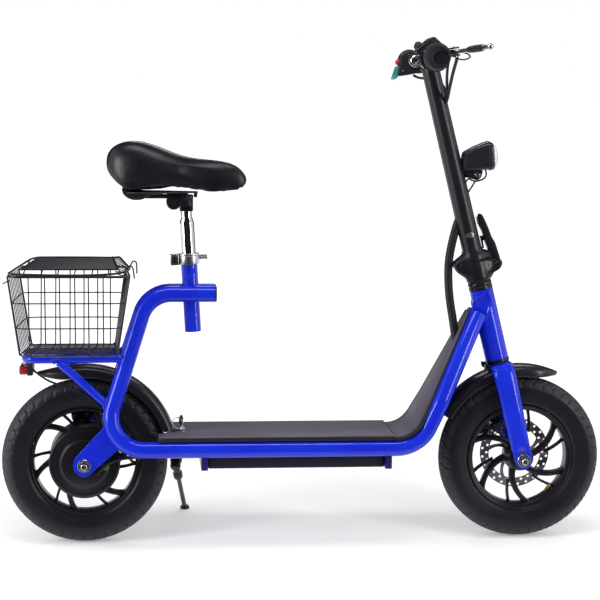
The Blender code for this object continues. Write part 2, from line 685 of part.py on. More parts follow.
def make_fold_joint():
    """The casting on the steerer, with lugs for the fold pin and the latch."""
    base_profile = [(14.4, 5), (22.5, 5), (23.5, 12), (23.5, 36), (22, 46), (0, 46), (0, 42), (14.4, 42)]
    base = place(turned(base_profile, 28), "fold_base", "steering", HEAD, BLACK_PAINT)
    pin_x, pin_z = FOLD_PIN
    lug = [(-18, 18), (-18, 45.7), (-26, 45.7), (-27, 52), (-40, 53), (-42.6, 46), (-38, 34)]
    latch_lug = [(18, 14), (46, 22), (50, 33), (44, 39), (18, 40)]
    join(base, "steering", HEAD_SIDE, plate(lug, -17, 17), plate(latch_lug, -15, 15))
    cut(base, "steering", HEAD, box((-60, -8.6, 36), (-19.3, 8.6, 70)), box((29, -9.6, 8), (70, 9.6, 70)))
    join(base, "steering", HEAD, tube([(pin_x, -20, pin_z), (pin_x, 20, pin_z)], 3, 2),
         tube([(LATCH_PIN[0], -13, LATCH_PIN[1]), (LATCH_PIN[0], 13, LATCH_PIN[1])], 3, 2))
    lever = [(34.5, 25), (42, 21), (51, 27), (50, 40), (37, 130), (30, 132), (25.8, 124), (34.5, 64)]
    latch = place(plate(lever, -9, 9, [circle(3.4, 12, LATCH_PIN)]), "latch_lever", "fold_latch",
                  HEAD_SIDE, BLACK_PAINT)
    cut(latch, "fold_latch", HEAD_SIDE, plate([(38, 62), (41, 62), (35.5, 112), (32, 112)], -20, 20))


def make_stem():
    """Stem tube with its hinge flange and the sleeve that holds the bar."""
    profile = [(0, 430), (17, 430), (19.5, 64), (24, 58), (24, 46.4), (0, 46.4)]
    stem = place(turned(profile, 28), "stem", "stem", HEAD, BLACK_PAINT)
    pin_x, pin_z = FOLD_PIN
    lug = arc(7.6, 150, 310, 8, FOLD_PIN) + [(-20, 46.4), (-16, 62), (-40, 56)]
    hook = [(20, 46.4), (32, 46.4), (33, 52), (30, 61), (16, 62)]
    join(stem, "stem", HEAD_SIDE, plate(lug, -8, 8), plate(hook, -8.5, 8.5))
    sleeve = tube([(0, -25, BAR_HEIGHT), (0, 25, BAR_HEIGHT)], 18, 6)
    join(stem, "stem", BAR, sleeve)
    bore = tube([(0, -40, BAR_HEIGHT), (0, 40, BAR_HEIGHT)], BAR_RADIUS + GAP, 4)
    pin_hole = tube([(pin_x, -30, pin_z), (pin_x, 30, pin_z)], 3.4, 2)
    hollow = turned([(15, 418), (15, 30), (0, 30), (0, 418)], 20)
    cable_entry = tube([(40, 0, 370), (5, 0, 355)], 6.4, 3)
    cut(stem, "stem", BAR, bore)
    cut(stem, "stem", HEAD, pin_hole, hollow, cable_entry)
    cut(stem, "stem", LEVEL, tube(bundle_route()[:7], 9.8, 3))


def make_handlebar():
    """The bar, its grips, the display, the control pod and the throttle's housing."""
    tip = BAR_END * math.sin(math.radians(BAR_SWEEP))
    reach = BAR_BEND + BAR_END * math.cos(math.radians(BAR_SWEEP))
    corners = [(-tip, -reach, BAR_HEIGHT), (0, -BAR_BEND, BAR_HEIGHT), (0, BAR_BEND, BAR_HEIGHT),
               (-tip, reach, BAR_HEIGHT)]
    place(tube(rounded(corners, (70, 70), 3), BAR_RADIUS, 4), "handlebar", "stem", BAR, BLACK_PAINT)
    face = [(-24, 465), (-19, 469), (12, 483), (18, 482), (36.6, 458.3), (26, 452), (14, 463.2),
            (-19, 463.5)]
    display = place(plate(face, -33, 33), "display_unit", "stem", BAR @ SIDE, BLACK_PLASTIC)
    add_bevel(display, 1.5)
    for side, name in ((-1, "right"), (1, "left")):
        frame, up = bar_side(side)
        body = "throttle" if side < 0 else "stem"
        grip = place(loft(grip_sections(up)), "grip_" + name, body, frame, RUBBER)
        bore = BAR_RADIUS + 2.6 * GAP
        cut(grip, body, frame, tube([(0, 0, 40), (0, 0, BAR_END + 0.8)], bore, 4))
    ring = [(BAR_RADIUS + GAP, 30), (BAR_RADIUS + GAP, 59), (19, 59), (20, 56), (20, 33), (18, 30)]
    place(turned(ring[::-1], 24), "throttle_housing", "stem", BAR_RIGHT, BLACK_PLASTIC)
    outline = [POD_FACE[0], POD_FACE[1], (-48, -18.5), (-27, -20.4), (5, -21.5), (14, -10),
               (16, 8), (8, 21), (-10, 25.5), (-28, 25)]
    outline = [(x, -y) for x, y in outline]
    pod = place(plate(outline, 30, 58, [circle(BAR_RADIUS + GAP, 20)]), "control_pod", "stem",
                BAR_LEFT, BLACK_PLASTIC)
    button = BAR_LEFT @ POWER_BUTTON_TURN
    cut(pod, "stem", button, turned([(5.6, 5), (5.6, -6), (0, -6), (0, 5)], 16))
    place(turned([(0, 3.5), (4, 3.5), (5.2, 2.5), (5.2, -3.8), (0, -3.8)], 16), "power_button",
          "button", button, RED)


def grip_sections(up):
    """Loops of a grip that swells, behind and above the bar, towards a round outer end."""
    stations = [(GRIP_START, 23.5, 0), (64.5, 23.5, 0), (66.5, 17, 0), (100, 17.5, 0.1),
                (140, 21.5, 0.7), (163, 24.5, 1), (172, 24, 1), (181, 16.5, 0.3), (GRIP_END, 13.5, 0)]
    sections = []
    for z, radius, shift in stations:
        sections.append([(x - 6 * shift, y + up * 5 * shift, z) for x, y in circle(radius, 18)])
    return sections


def add_bevel(obj, width, segments=1):
    """Round a part's sharp edges."""
    bevel = obj.modifiers.new("edges", "BEVEL")
    bevel.width = width * MM
    bevel.segments = segments
    bevel.limit_method = "ANGLE"


def make_brake_levers():
    """Each lever and the perch that carries it on the bar."""
    perch = [(12, 14), (30, 12), (44, 14), (48, 22), (44, 30), (36, 31), (12, 28)]
    mouth = [(27, 0), (90, 0), (90, 60), (27, 60)]
    blade = [(31, 15), (42, 13), (52, 20), (66, 50), (77, 84), (90, 124), (95, 136), (101, 141),
             (103, 149), (98, 156), (90, 156), (85, 150), (84, 138), (80, 126), (67, 86), (56, 55),
             (44, 34), (31, 30)]
    centre = (LEVER_PIVOT[0], LEVER_PIVOT[2])
    for side, name in ((-1, "right"), (1, "left")):
        up = bar_side(side)[1]
        frame = lever_frame(side)
        plane = frame @ Matrix.Translation((0, up * LEVER_RISE, 0)) @ SIDE
        clamp = [(BAR_RADIUS + GAP, 28), (17, 28), (17, 13), (BAR_RADIUS + GAP, 13)]
        mount = place(turned(clamp, 20), "lever_mount_" + name, "stem", frame, BLACK_PAINT)
        join(mount, "stem", plane, plate(perch, -8.5, 8.5))
        cut(mount, "stem", plane, plate(mouth, -5.4, 5.4))
        cut(mount, "stem", frame, tube([(0, 0, 5), (0, 0, 40)], BAR_RADIUS + GAP, 4))
        join(mount, "stem", plane, plate(circle(2.6, 10, centre), -7, 7))
        place(plate(blade, -5, 5, [circle(3, 10, centre)]), "brake_lever_" + name, "lever_" + name,
              plane, STEEL)


def make_lights():
    """Headlight with its bracket and lens, and the tail light."""
    lamp = Matrix.Translation((727.8, 0, 747)) @ Matrix.Rotation(math.radians(93), 4, "Y")
    profile = [(0, 66), (23.5, 66), (25.5, 69), (27, 66), (28, 40), (25, 14), (16, 2), (0, 0)]
    case = [(24, 69), (27, 68), (28, 42), (25, 14), (16, 2), (0, 0), (0, 60), (24, 60)]
    headlight = place(turned(case, 28), "headlight", "stem", lamp, BLACK_PLASTIC)
    bracket = [(738.4, 699), (758, 704), (772, 722), (764, 730), (745, 726), (732.8, 722)]
    join(headlight, "stem", SIDE, plate(bracket, -8, 8))
    lens = [(0, 69), (20, 68), (23.6, 65), (23.6, 60.4), (0, 60.4)]
    place(turned(lens, 28), "headlight_lens", "stem", lamp, CLEAR)
    housing = place(box((-104, -32, 327.5), (-97, 32, 347), 1), "tail_light_housing", "frame",
                    LEVEL, BLACK_PLASTIC)
    join(housing, "frame", LEVEL, box((-103, -9, 343), (-99, 9, 354.2)))
    place(box((-123.5, -31, 328.5), (-104.4, 31, 346), 2), "tail_light_lens", "frame", LEVEL, RED)


def make_calipers():
    """A mechanical caliper and its pull arm for each brake."""
    for name, body, arm_body, frame, angle, disc, inner, outer in (
            ("front", "steering", "front_brake", FRONT, FRONT_CALIPER_ANGLE, -33.3, -27, -42.6),
            ("rear", "frame", "rear_brake", REAR, REAR_CALIPER_ANGLE, -47.8, -41.2, -56)):
        turn = frame @ caliper_turn(angle)
        caliper = place(box((58, -18, outer), (90, 18, inner), 2.5), name + "_caliper", body, turn,
                        BLACK_PAINT)
        cut(caliper, body, turn, box((40, -30, disc - 2), (72, 30, disc + 2)))
        stop = [(78, -15), (90, -15), (114, -24), (114, -34), (104, -34), (78, -24)]
        join(caliper, body, turn, plate(stop, outer, outer + 6))
        if name == "front":
            join(caliper, body, turn, box((60, -33, outer), (78, -16, outer + 5.6)))
        else:
            join(caliper, body, turn, box((60, -15, -60 + GAP), (73, -4, outer + 1)))
        arm = [(74, 5), (80, 3), (110, 11), (116, 13), (116, 19), (108, 20), (84, 17), (74, 15)]
        place(plate(arm, outer - 3.5, outer - GAP), name + "_brake_arm", arm_body, turn, STEEL)


def make_seat():
    """Seat post, its collar and lever, the saddle clamp, rails, base and cushion."""
    post = [(10.5, 118), (10.5, 86), (13.9, 76), (13.9, -110), (0, -110), (0, 118)]
    place(turned(post, 24), "seatpost", "seat", SEAT, CHROME)
    ring = [(14.5, 17), (20.5, 17), (20.5, -4), (16.2, -4), (16.2, 12.4), (14.5, 12.4)]
    collar = place(turned(ring, 24), "seat_collar", "frame", SEAT, STEEL)
    lug = [(-36, -12), (-18, -12), (-18, 12), (-36, 12)]
    join(collar, "frame", SEAT, plate(lug, -4, 17))
    cut(collar, "frame", SEAT, box((-50, -1.5, -10), (-15, 1.5, 30)))
    root = arc(6.3, 100, 300, 7, SEAT_LEVER_PIVOT[:2])
    arm = root + [(-18, 20), (4, 27), (30, 26), (36, 22), (38, 25), (33, 30), (6, 32)]
    place(plate(arm, 2, 11), "seat_lever", "seat_clamp", SEAT, ALUMINIUM)

    body = box((158, -27, 648), (198, 27, 664), 2)
    clamp = place(body, "saddle_clamp", "seat", LEVEL, BLACK_PAINT)
    join(clamp, "seat", LEVEL, box((160, -14, 660), (196, 14, 674)),
         box((158, -27, 671.9), (198, 27, 674.2)))
    disc = circle(13.5, 20, (170.5, 657))
    join(clamp, "seat", SIDE, plate(disc, 26, 30), plate(disc, -30, -26))
    cut(clamp, "seat", SEAT, turned([(10.8, 118.4), (10.8, 80), (0, 80), (0, 118.4)], 20))
    half = [(114.5, 22, 668), (196, 22, 668), (205.5, 8, 668), (205.5, 0, 668)]
    route = [half[0]] + rounded(half, (10, 5), 2)[1:-1] + [half[-1]]
    whole = mirrored([tuple(p) for p in route]) + [tuple(p) for p in reversed(route[:-1])]
    place(tube(whole, 3.4, 2), "saddle_rails", "seat", LEVEL, BLACK_PAINT)

    stations = [(82, 44), (100, 54), (130, 52), (160, 38), (190, 25), (217, 12)]
    under = [[(x, -w, 677.6), (x, w, 677.6), (x, w - 3, 674.6), (x, -w + 3, 674.6)]
             for x, w in stations]
    base = place(loft(under), "saddle_base", "seat", LEVEL, BLACK_PLASTIC)
    for side in (-1, 1):
        join(base, "seat", LEVEL, box((76, side * 22 - 10, 661), (114, side * 22 + 10, 677), 3))
    join(base, "seat", LEVEL, box((209.6, -9, 666.5), (216, 9, 676.5)))
    cushion = place(loft(cushion_sections()), "saddle_cushion", "seat", LEVEL, LEATHER, 180)
    soft = cushion.modifiers.new("soft", "SUBSURF")
    soft.levels = 1
    soft.render_levels = 1


def cushion_sections():
    """Loops along the saddle: a crowned top, drawn-in sides and a shallow middle channel."""
    stations = [(42, 744, 716, 40), (48, 757, 704, 78), (58, 767, 693, 98), (74, 774, 676, 110),
                (108, 777, 676.5, 119), (142, 768, 681, 110), (175, 757, 681, 84), (205, 750, 675, 60),
                (240, 745, 671, 45), (275, 738.5, 673, 39), (299, 727, 678, 34), (312, 706, 690, 19)]
    sections = []
    for x, top, bottom, wide in stations:
        tall = top - bottom
        half = wide / 2
        hollow = min(8, 0.3 * tall)
        loop = [(0, top - 5), (0.34 * half, top), (0.72 * half, top - 0.1 * tall),
                (half, bottom + 0.56 * tall), (0.98 * half, bottom + 0.22 * tall),
                (0.86 * half, bottom), (0.72 * half, bottom + hollow)]
        loop += [(0, bottom + hollow)] + [(-y, z) for y, z in reversed(loop[1:])]
        sections.append([(x, y, z) for y, z in loop])
    return sections


def make_basket():
    """The basket as a thin-walled open tray, and its lid hinged along the far side."""
    floor = basket_outline(((-118, -84), (64, -84), (56, 84), (-92, 84)), BASKET_FLOOR)
    rim = basket_outline(((-138, -115), (88, -115), (76, 115), (-104, 115)), BASKET_RIM)
    outer = loft([floor, rim])
    basket = place(outer, "basket", "frame", LEVEL, BLACK_PAINT)
    inner_floor = basket_outline(((-115, -81), (61, -81), (53, 81), (-89, 81)), BASKET_FLOOR + 3)
    inner_rim = basket_outline(((-135.8, -112.8), (85.8, -112.8), (73.8, 112.8), (-101.8, 112.8)),
                               BASKET_RIM + 4)
    cut(basket, "frame", LEVEL, loft([inner_floor, inner_rim]))
    section = [(-116, 527), (-116, 529.5), (112, 542), (118, 541), (118, 530.5), (115, 530.5),
               (115, 538), (112, 539)]
    left = [(-138.5 + 35 * (y + 116) / 234, y, z) for y, z in section]
    right = [(89 - 12 * (y + 116) / 234, y, z) for y, z in section]
    place(loft([left, right]), "basket_lid", "lid", LEVEL, BLACK_PAINT)


def basket_outline(corners, height, radius=26):
    """A level four-sided loop with round corners."""
    closed = [(*c, height) for c in corners]
    closed = [tuple((Vector(closed[0]) + Vector(closed[1])) / 2)] + closed[1:] + closed[:1]
    closed.append(closed[0])
    return [tuple(p) for p in rounded(closed, (radius,) * 4, 3)[:-1]]


def make_stand():
    """The kickstand: a jointed head, a rod and a rubber-tipped foot."""
    frame = stand_frame()
    length = (Vector(KICK_FOOT) - Vector(KICK_PIVOT)).length
    hub = turned([(10.5, 6.7), (10.5, -7), (4.3, -7), (4.3, 6.7)], 14)
    stand = place(hub, "kickstand", "stand", frame, BLACK_PAINT)
    route = [(7.5, 0, 0), (24, 0, 0), (30, 0, 0), (44, 0, 0), (52, 0, 0), (length - 6, 0, 0)]
    join(stand, "stand", frame, tube(route, [6, 6.5, 9.5, 9.5, 4.6, 4.6], 3))
    place_foot = Matrix.Translation(KICK_FOOT)
    ground = Matrix.Rotation(math.radians(LEAN), 4, "X")
    pad = turned([(0, 5), (8, 5), (9.5, 2), (9.5, foot_depth()), (0, foot_depth())], 20)
    join(stand, "stand", place_foot @ ground, pad)


def foot_depth():
    """How far below its centre the foot's flat sole lies, on the ground plane."""
    turn = Matrix.Rotation(math.radians(-LEAN), 4, "X")
    contact = turn @ Vector((0, TYRE_FACET, 0))
    return contact.z - (turn @ Vector(KICK_FOOT)).z


TYRE_FACET = 4.0


def bundle_route():
    """The thick bundle's way from the stem, through the shield, to the battery case."""
    route = [(730, 629), (717, 618), (713, 600), (712.4, 577), (706.6, 560), (704.4, 530), (705, 499),
             (708, 480), (716, 437), (721.5, 397), (723, 374), (706, 330), (683, 277), (659, 231),
             (644.7, 212), (622, 197), (606, 180), (594, 172.5), (585, 172), (574, 172)]
    return smooth_route([(x, 0, z) for x, z in route], 2)


def make_cables():
    """The cables that the scooter holds along their whole route."""
    place(tube(bundle_route(), 8.8, 2), "cable_bundle", "frame", LEVEL, RUBBER)
    right = [(52, -114, 442.5), (58, -113, 438), (60.5, -110, 432), (56.5, -106, 427.5),
             (46, -99, 428.5), (37, -88, 426.5), (34.8, -62, 415), (30, -34, 399), (27.5, -14, 382),
             (25.5, -3.5, 368), (17, -1.8, 360.4)]
    left = [(-12, 146, 420.4), (-5, 136, 414), (8, 118, 415), (24, 84, 420.5), (32, 50, 411.5),
            (27.5, 22, 393), (26, 4, 370), (17, 1.8, 360.4)]
    cables = place(tube(smooth_route(right, 2), 2.6, 2), "bar_cables", "stem", HEAD, RUBBER)
    join(cables, "stem", HEAD, tube(smooth_route(left, 2), 2.6, 2))
    motor = [(22, -53.5, 140), (42, -53.5, 159), (62, -53, 168), (84, -49, 171), (106, -42, 171),
             (132, -33, 171), (160, -27, 170.5), (190, -25, 170.5), (221.4, -24, 171)]
    place(tube(smooth_route(motor, 2), 3.6, 1), "motor_cable", "frame", LEVEL, RUBBER)
    tail = [(-94.3, -12, 336), (-87, -34, 326), (-74, -44, 312), (-45, -46, 303), (-8, -48, 300),
            (18, -48, 286), (36, -47, 268)]
    place(tube(smooth_route(tail, 2), 2.2, 1), "tail_light_cable", "frame", LEVEL, RUBBER)


def make_end_cap():
    """One moulded plug that closes both ends of the seat rails."""
    cap = tube([(SEAT_RAIL_END + GAP, -22, SEAT_RAIL_HEIGHT), (SEAT_RAIL_END + 6, -22, SEAT_RAIL_HEIGHT)],
               [15.6, 12.5], 3)
    plug = place(cap, "tube_end_cap", "frame", LEVEL, BLACK_PLASTIC)
    other = tube([(SEAT_RAIL_END + GAP, 22, SEAT_RAIL_HEIGHT), (SEAT_RAIL_END + 6, 22, SEAT_RAIL_HEIGHT)],
                 [15.6, 12.5], 3)
    low = (SEAT_RAIL_END + GAP, -12, SEAT_RAIL_HEIGHT - 6)
    bridge = box(low, (SEAT_RAIL_END + 4, 12, SEAT_RAIL_HEIGHT + 6))
    join(plug, "frame", LEVEL, other, bridge)


def lean_and_centre():
    """Lean the assembly onto its stand, and centre its box over the origin."""
    root = PIVOT["frame"]
    root.rotation_euler = (math.radians(-LEAN), 0, 0)
    bpy.context.view_layer.update()
    graph = bpy.context.evaluated_depsgraph_get()
    corners = []
    for obj in PARTS.objects:
        if obj.type == "MESH":
            shape = obj.evaluated_get(graph)
            grid = np.array([v.co for v in shape.data.vertices])
            turn = np.array(shape.matrix_world)
            corners.append(grid @ turn[:3, :3].T + turn[:3, 3])
    points = np.concatenate(corners)
    low = points.min(axis=0)
    high = points.max(axis=0)
    root.location = (-(low[0] + high[0]) / 2, -(low[1] + high[1]) / 2, -low[2])
    bpy.context.view_layer.update()


def build():
    """Model every part, then set the scooter down."""
    make_pivots()
    make_main_frame()
    make_end_cap()
    make_deck()
    make_battery()
    make_key()
    fender("frame", REAR, "rear_fender", 180, 32, 21.5, 117.5, 117.5, 7, 8)
    fender("steering", FRONT, "front_fender", 181, 31, 66, 151, 66, 2.5)
    make_rear_wheel()
    make_front_wheel()
    make_fork()
    make_fold_joint()
    make_stem()
    make_handlebar()
    make_brake_levers()
    make_lights()
    make_calipers()
    make_seat()
    make_basket()
    make_stand()
    make_cables()
    lean_and_centre()


build()
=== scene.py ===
# %% [markdown]
# # A seated electric scooter, dressed for its portrait
# The CAD model gives every part its true size and place. This lesson adds what the eye
# looks for: tread, welds, wires, leather, paint. Each cell says what a piece is on the
# real scooter and which of several ways of making it was chosen.

# %% Load the CAD model
import json
import math

import bmesh
import bpy
import numpy as np
from mathutils import Matrix


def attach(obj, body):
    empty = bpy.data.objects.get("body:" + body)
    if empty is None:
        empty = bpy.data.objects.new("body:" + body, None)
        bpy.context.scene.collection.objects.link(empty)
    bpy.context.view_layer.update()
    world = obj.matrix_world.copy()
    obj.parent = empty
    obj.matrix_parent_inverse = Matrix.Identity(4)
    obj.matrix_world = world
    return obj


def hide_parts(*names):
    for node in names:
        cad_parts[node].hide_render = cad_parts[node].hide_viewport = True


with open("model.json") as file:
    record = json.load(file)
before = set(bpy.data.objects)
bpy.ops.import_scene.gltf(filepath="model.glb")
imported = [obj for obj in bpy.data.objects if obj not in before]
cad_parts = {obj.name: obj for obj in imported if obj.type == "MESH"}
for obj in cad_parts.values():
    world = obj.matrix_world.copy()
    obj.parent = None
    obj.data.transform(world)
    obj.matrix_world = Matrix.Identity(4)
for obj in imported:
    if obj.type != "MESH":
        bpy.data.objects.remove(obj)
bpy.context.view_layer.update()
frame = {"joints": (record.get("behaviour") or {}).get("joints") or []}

# %% [markdown]
# ## Frames
# The scooter leans six degrees onto its stand, which makes world coordinates awkward.
# So every piece is drawn level, in millimetres: X forward, Y to the rider's left, Z up,
# with zero on the ground under the rear axle. A 4 x 4 matrix then takes the points to
# their leaning place. Parts on the steering axis or the seat post get a matrix of their own.

# %% Matrices that place things
MM = 0.001
LEAN = 6
SWEEP = 1.9
WHEEL_RADIUS = 158.75


def shift(x, y, z):
    """A matrix that moves by (x, y, z) millimetres."""
    matrix = np.eye(4)
    matrix[:3, 3] = np.array([x, y, z]) * MM
    return matrix


def turn(axis, degrees):
    """A rotation: cosines stay on the diagonal, minus and plus sine cross it."""
    cosine, sine = math.cos(math.radians(degrees)), math.sin(math.radians(degrees))
    matrix = np.eye(4)
    a, b = {"x": (1, 2), "y": (2, 0), "z": (0, 1)}[axis]
    matrix[a, a] = matrix[b, b] = cosine
    matrix[a, b] = -sine
    matrix[b, a] = sine
    return matrix


def along_axes(x, y, z):
    """A rotation whose columns are three directions at right angles."""
    matrix = np.eye(4)
    matrix[:3, :3] = np.stack([x, y, z], 1)
    return matrix


def at(points, place):
    """Points in a place's millimetres, as world metres: R p + t."""
    return np.asarray(points, float) * MM @ place[:3, :3].T + place[:3, 3]


pivots = {joint["name"]: joint.get("pos_m") for joint in frame["joints"]}
rear_axle = np.eye(4)
rear_axle[:3, 3] = pivots["rear_wheel_spin"]
LEVEL = rear_axle @ turn("x", -LEAN) @ shift(0, 0, -WHEEL_RADIUS)
SIDE, FLIP = turn("x", 90), turn("x", 180)
HEAD = LEVEL @ shift(767, 0, 500) @ turn("y", -14)
HEAD_SIDE = HEAD @ SIDE
BAR = HEAD @ turn("z", -3.4)
SEAT = LEVEL @ shift(200.4, 0, 541.9) @ turn("y", -3.35)
REAR = LEVEL @ shift(0, 0, WHEEL_RADIUS) @ SIDE
FRONT = LEVEL @ shift(849.5, 0, WHEEL_RADIUS) @ SIDE
print("front axle", np.round(FRONT[:3, 3], 4), "CAD says", pivots["front_wheel_spin"])


def half_bar(side):
    """One half of the handlebar: X forward, Z outward along the swept bar."""
    sweep = math.radians(SWEEP)
    outward = np.array([-math.sin(sweep), side * math.cos(sweep), 0])
    forward = np.array([math.cos(sweep), side * math.sin(sweep), 0])
    axes = along_axes(forward, np.cross(outward, forward), outward)
    return BAR @ shift(0, side * 100, 444) @ axes


BAR_RIGHT, BAR_LEFT = half_bar(-1), half_bar(1)
BARS = {-1: BAR_RIGHT, 1: BAR_LEFT}


def facing(point, direction, spin=(0.3, 0.9, 0.1), base=LEVEL):
    """A place at a point whose Z looks along a direction, for bolts and screws."""
    z = np.array(direction, float) / np.linalg.norm(direction)
    x = np.cross(spin, z)
    x /= np.linalg.norm(x)
    return base @ shift(*point) @ along_axes(x, np.cross(z, x), z)


# %% [markdown]
# ## Surfaces from grids
# Almost every piece is a family of rings: a tube is a circle carried along a path, a turned
# part is a profile carried round an axis, a plate is an outline carried through its
# thickness. So one function, skin, joins rings into faces, and the others only work out
# where the rings lie, as whole arrays.

# %% Rings and the faces between them


def skin(rings, around=True, along=False, caps=True):
    """Quads between ring i and i + 1 and between point j and j + 1; flat caps end it."""
    rings = np.asarray(rings, float)
    n, m = rings.shape[:2]
    i = np.arange(n if along else n - 1)[:, None]
    j = np.arange(m if around else m - 1)[None, :]
    nxt, right = (i + 1) % n, (j + 1) % m
    quads = np.stack([i * m + j, i * m + right, nxt * m + right, nxt * m + j], -1)
    faces = [quads.reshape(-1, 4)]
    if caps and not along:
        faces += [np.arange(m)[None, ::-1], np.arange((n - 1) * m, n * m)[None]]
    return rings.reshape(-1, 3), faces


def circle(radius, count=48, centre=(0, 0), start=0.0):
    """Points at radius times (cos, sin), evenly round the plane."""
    t = np.radians(start) + np.linspace(0, 2 * np.pi, count, endpoint=False)
    return np.stack([centre[0] + radius * np.cos(t), centre[1] + radius * np.sin(t)], 1)


def keep_sign(values, power):
    """|v|^power with the sign of v: cosines and sines become a superellipse."""
    return np.sign(values) * np.abs(values) ** power


def soften(points, reach, steps=3):
    """Round each corner P with the curve (1-t)^2 S + 2t(1-t) P + t^2 E, S and E near P."""
    p = np.asarray(points, float)

    def towards(other):
        d = other - p
        length = np.maximum(np.linalg.norm(d, axis=1, keepdims=True), 1e-9)
        return p + d * np.minimum(np.reshape(reach, (-1, 1)) / length, 0.48)

    s, e = towards(np.roll(p, 1, 0)), towards(np.roll(p, -1, 0))
    t = np.linspace(0, 1, steps + 1)[None, :, None]
    curve = (1 - t) ** 2 * s[:, None] + 2 * t * (1 - t) * p[:, None] + t ** 2 * e[:, None]
    return curve.reshape(-1, p.shape[1])


def lathe(profile, place, steps=64, closed=False):
    """Profile points (r, z) turned about Z: (r cos t, r sin t, z)."""
    p = np.asarray(profile, float)
    t = np.linspace(0, 2 * np.pi, steps, endpoint=False)[:, None]
    r = p[None, :, 0]
    rings = np.stack([r * np.cos(t), r * np.sin(t), p[None, :, 1] + 0 * t], -1)
    return skin(at(rings, place), around=closed, along=True)


def ring_tube(outer, inner, low, high, place, steps=72, edge=0.6):
    """A short open tube: a rectangle turned round the axis, with eased rims."""
    return lathe([(inner, low), (outer - edge, low), (outer, low + edge), (outer, high - edge),
                  (outer - edge, high), (inner, high)], place, steps, closed=True)


def letter_c(outer, inner, first, last, count):
    """A ring that is slit open: out along one arc and back along a smaller one."""
    t = np.radians(np.linspace(first, last, count))
    arc = np.stack([np.cos(t), np.sin(t)], 1)
    return np.vstack([outer * arc, inner * arc[::-1]])


def slab(outline, low, high, place, edge=0.8):
    """An outline in XY through a thickness, moved in along its normals at both faces."""
    p = np.asarray(outline, float)
    x, y = p.T
    if np.sum(x * np.roll(y, -1) - y * np.roll(x, -1)) < 0:
        p = p[::-1]
    d = np.roll(p, -1, 0) - p
    d /= np.maximum(np.linalg.norm(d, axis=1, keepdims=True), 1e-9)
    inward = np.stack([-d[:, 1], d[:, 0]], 1)
    inward = inward + np.roll(inward, 1, 0)
    inward /= np.maximum(np.linalg.norm(inward, axis=1, keepdims=True), 1e-9)
    t = np.radians([0, 30, 60, 90])
    moves = np.concatenate([1 - np.sin(t), (1 - np.sin(t))[::-1]]) * edge
    ease = edge * (1 - np.cos(t))
    levels = np.concatenate([low + ease, (high - ease)[::-1]])
    rings = np.concatenate([p[None] + moves[:, None, None] * inward[None],
                            np.broadcast_to(levels[:, None, None], (8, len(p), 1))], -1)
    return skin(at(rings, place))


def block(low, high, place=LEVEL, edge=1.0, corner=3.0):
    """A box between two corners, its upright edges and its faces' rims rounded."""
    (x1, y1, z1), (x2, y2, z2) = low, high
    outline = soften([(x1, y1), (x2, y1), (x2, y2), (x1, y2)], corner, 4)
    return slab(outline, z1, z2, place, edge)


# %% [markdown]
# ## Paths
# Bent tubes are straight runs and arcs, while cables are smooth curves through a few
# points that were read off the photograph. A tube's rings need two directions across
# the path. The direction that the path uses least is always free to serve as one of them.

# %% Bends, curves and the tubes along them


def bends(corners, radii, steps=14):
    """Straight runs whose corners are arcs, each tangent to both of its runs."""
    corners = [np.array(c, float) for c in corners]
    route = [corners[0][None]]
    for before, corner, after, radius in zip(corners, corners[1:], corners[2:], radii):
        back = (before - corner) / np.linalg.norm(before - corner)
        ahead = (after - corner) / np.linalg.norm(after - corner)
        half = math.acos(float(back @ ahead)) / 2
        middle = back + ahead
        centre = corner + middle / np.linalg.norm(middle) * radius / math.sin(half)
        first = corner + back * radius / math.tan(half) - centre
        last = corner + ahead * radius / math.tan(half) - centre
        sweep = math.pi - 2 * half
        s = np.linspace(0, 1, steps + 1)[:, None]
        mixed = first * np.sin((1 - s) * sweep) + last * np.sin(s * sweep)
        route.append(centre + mixed / math.sin(sweep))
    return np.vstack(route + [corners[-1][None]])


def curve(points, per=8, closed=False):
    """A Catmull-Rom curve: each span blends four neighbours with cubic weights."""
    p = np.asarray(points, float)
    if closed:
        p = np.vstack([p[-1], p, p[:2]])
    else:
        p = np.vstack([2 * p[0] - p[1], p, 2 * p[-1] - p[-2]])
    t = np.linspace(0, 1, per, endpoint=False)
    weights = 0.5 * np.stack([-t + 2 * t ** 2 - t ** 3, 2 - 5 * t ** 2 + 3 * t ** 3,
                              t + 4 * t ** 2 - 3 * t ** 3, -t ** 2 + t ** 3])
    spans = np.stack([p[:-3], p[1:-2], p[2:-1], p[3:]])
    way = np.einsum("kt,knd->ntd", weights, spans).reshape(-1, 3)
    return way if closed else np.vstack([way, p[-2]])


def even(path, step):
    """The same path with its points a step apart, by interpolating on arc length."""
    path = np.asarray(path, float)
    walked = np.concatenate([[0], np.cumsum(np.linalg.norm(np.diff(path, axis=0), axis=1))])
    wanted = np.linspace(0, walked[-1], max(int(walked[-1] / step), 2) + 1)
    return np.stack([np.interp(wanted, walked, path[:, k]) for k in range(3)], 1)


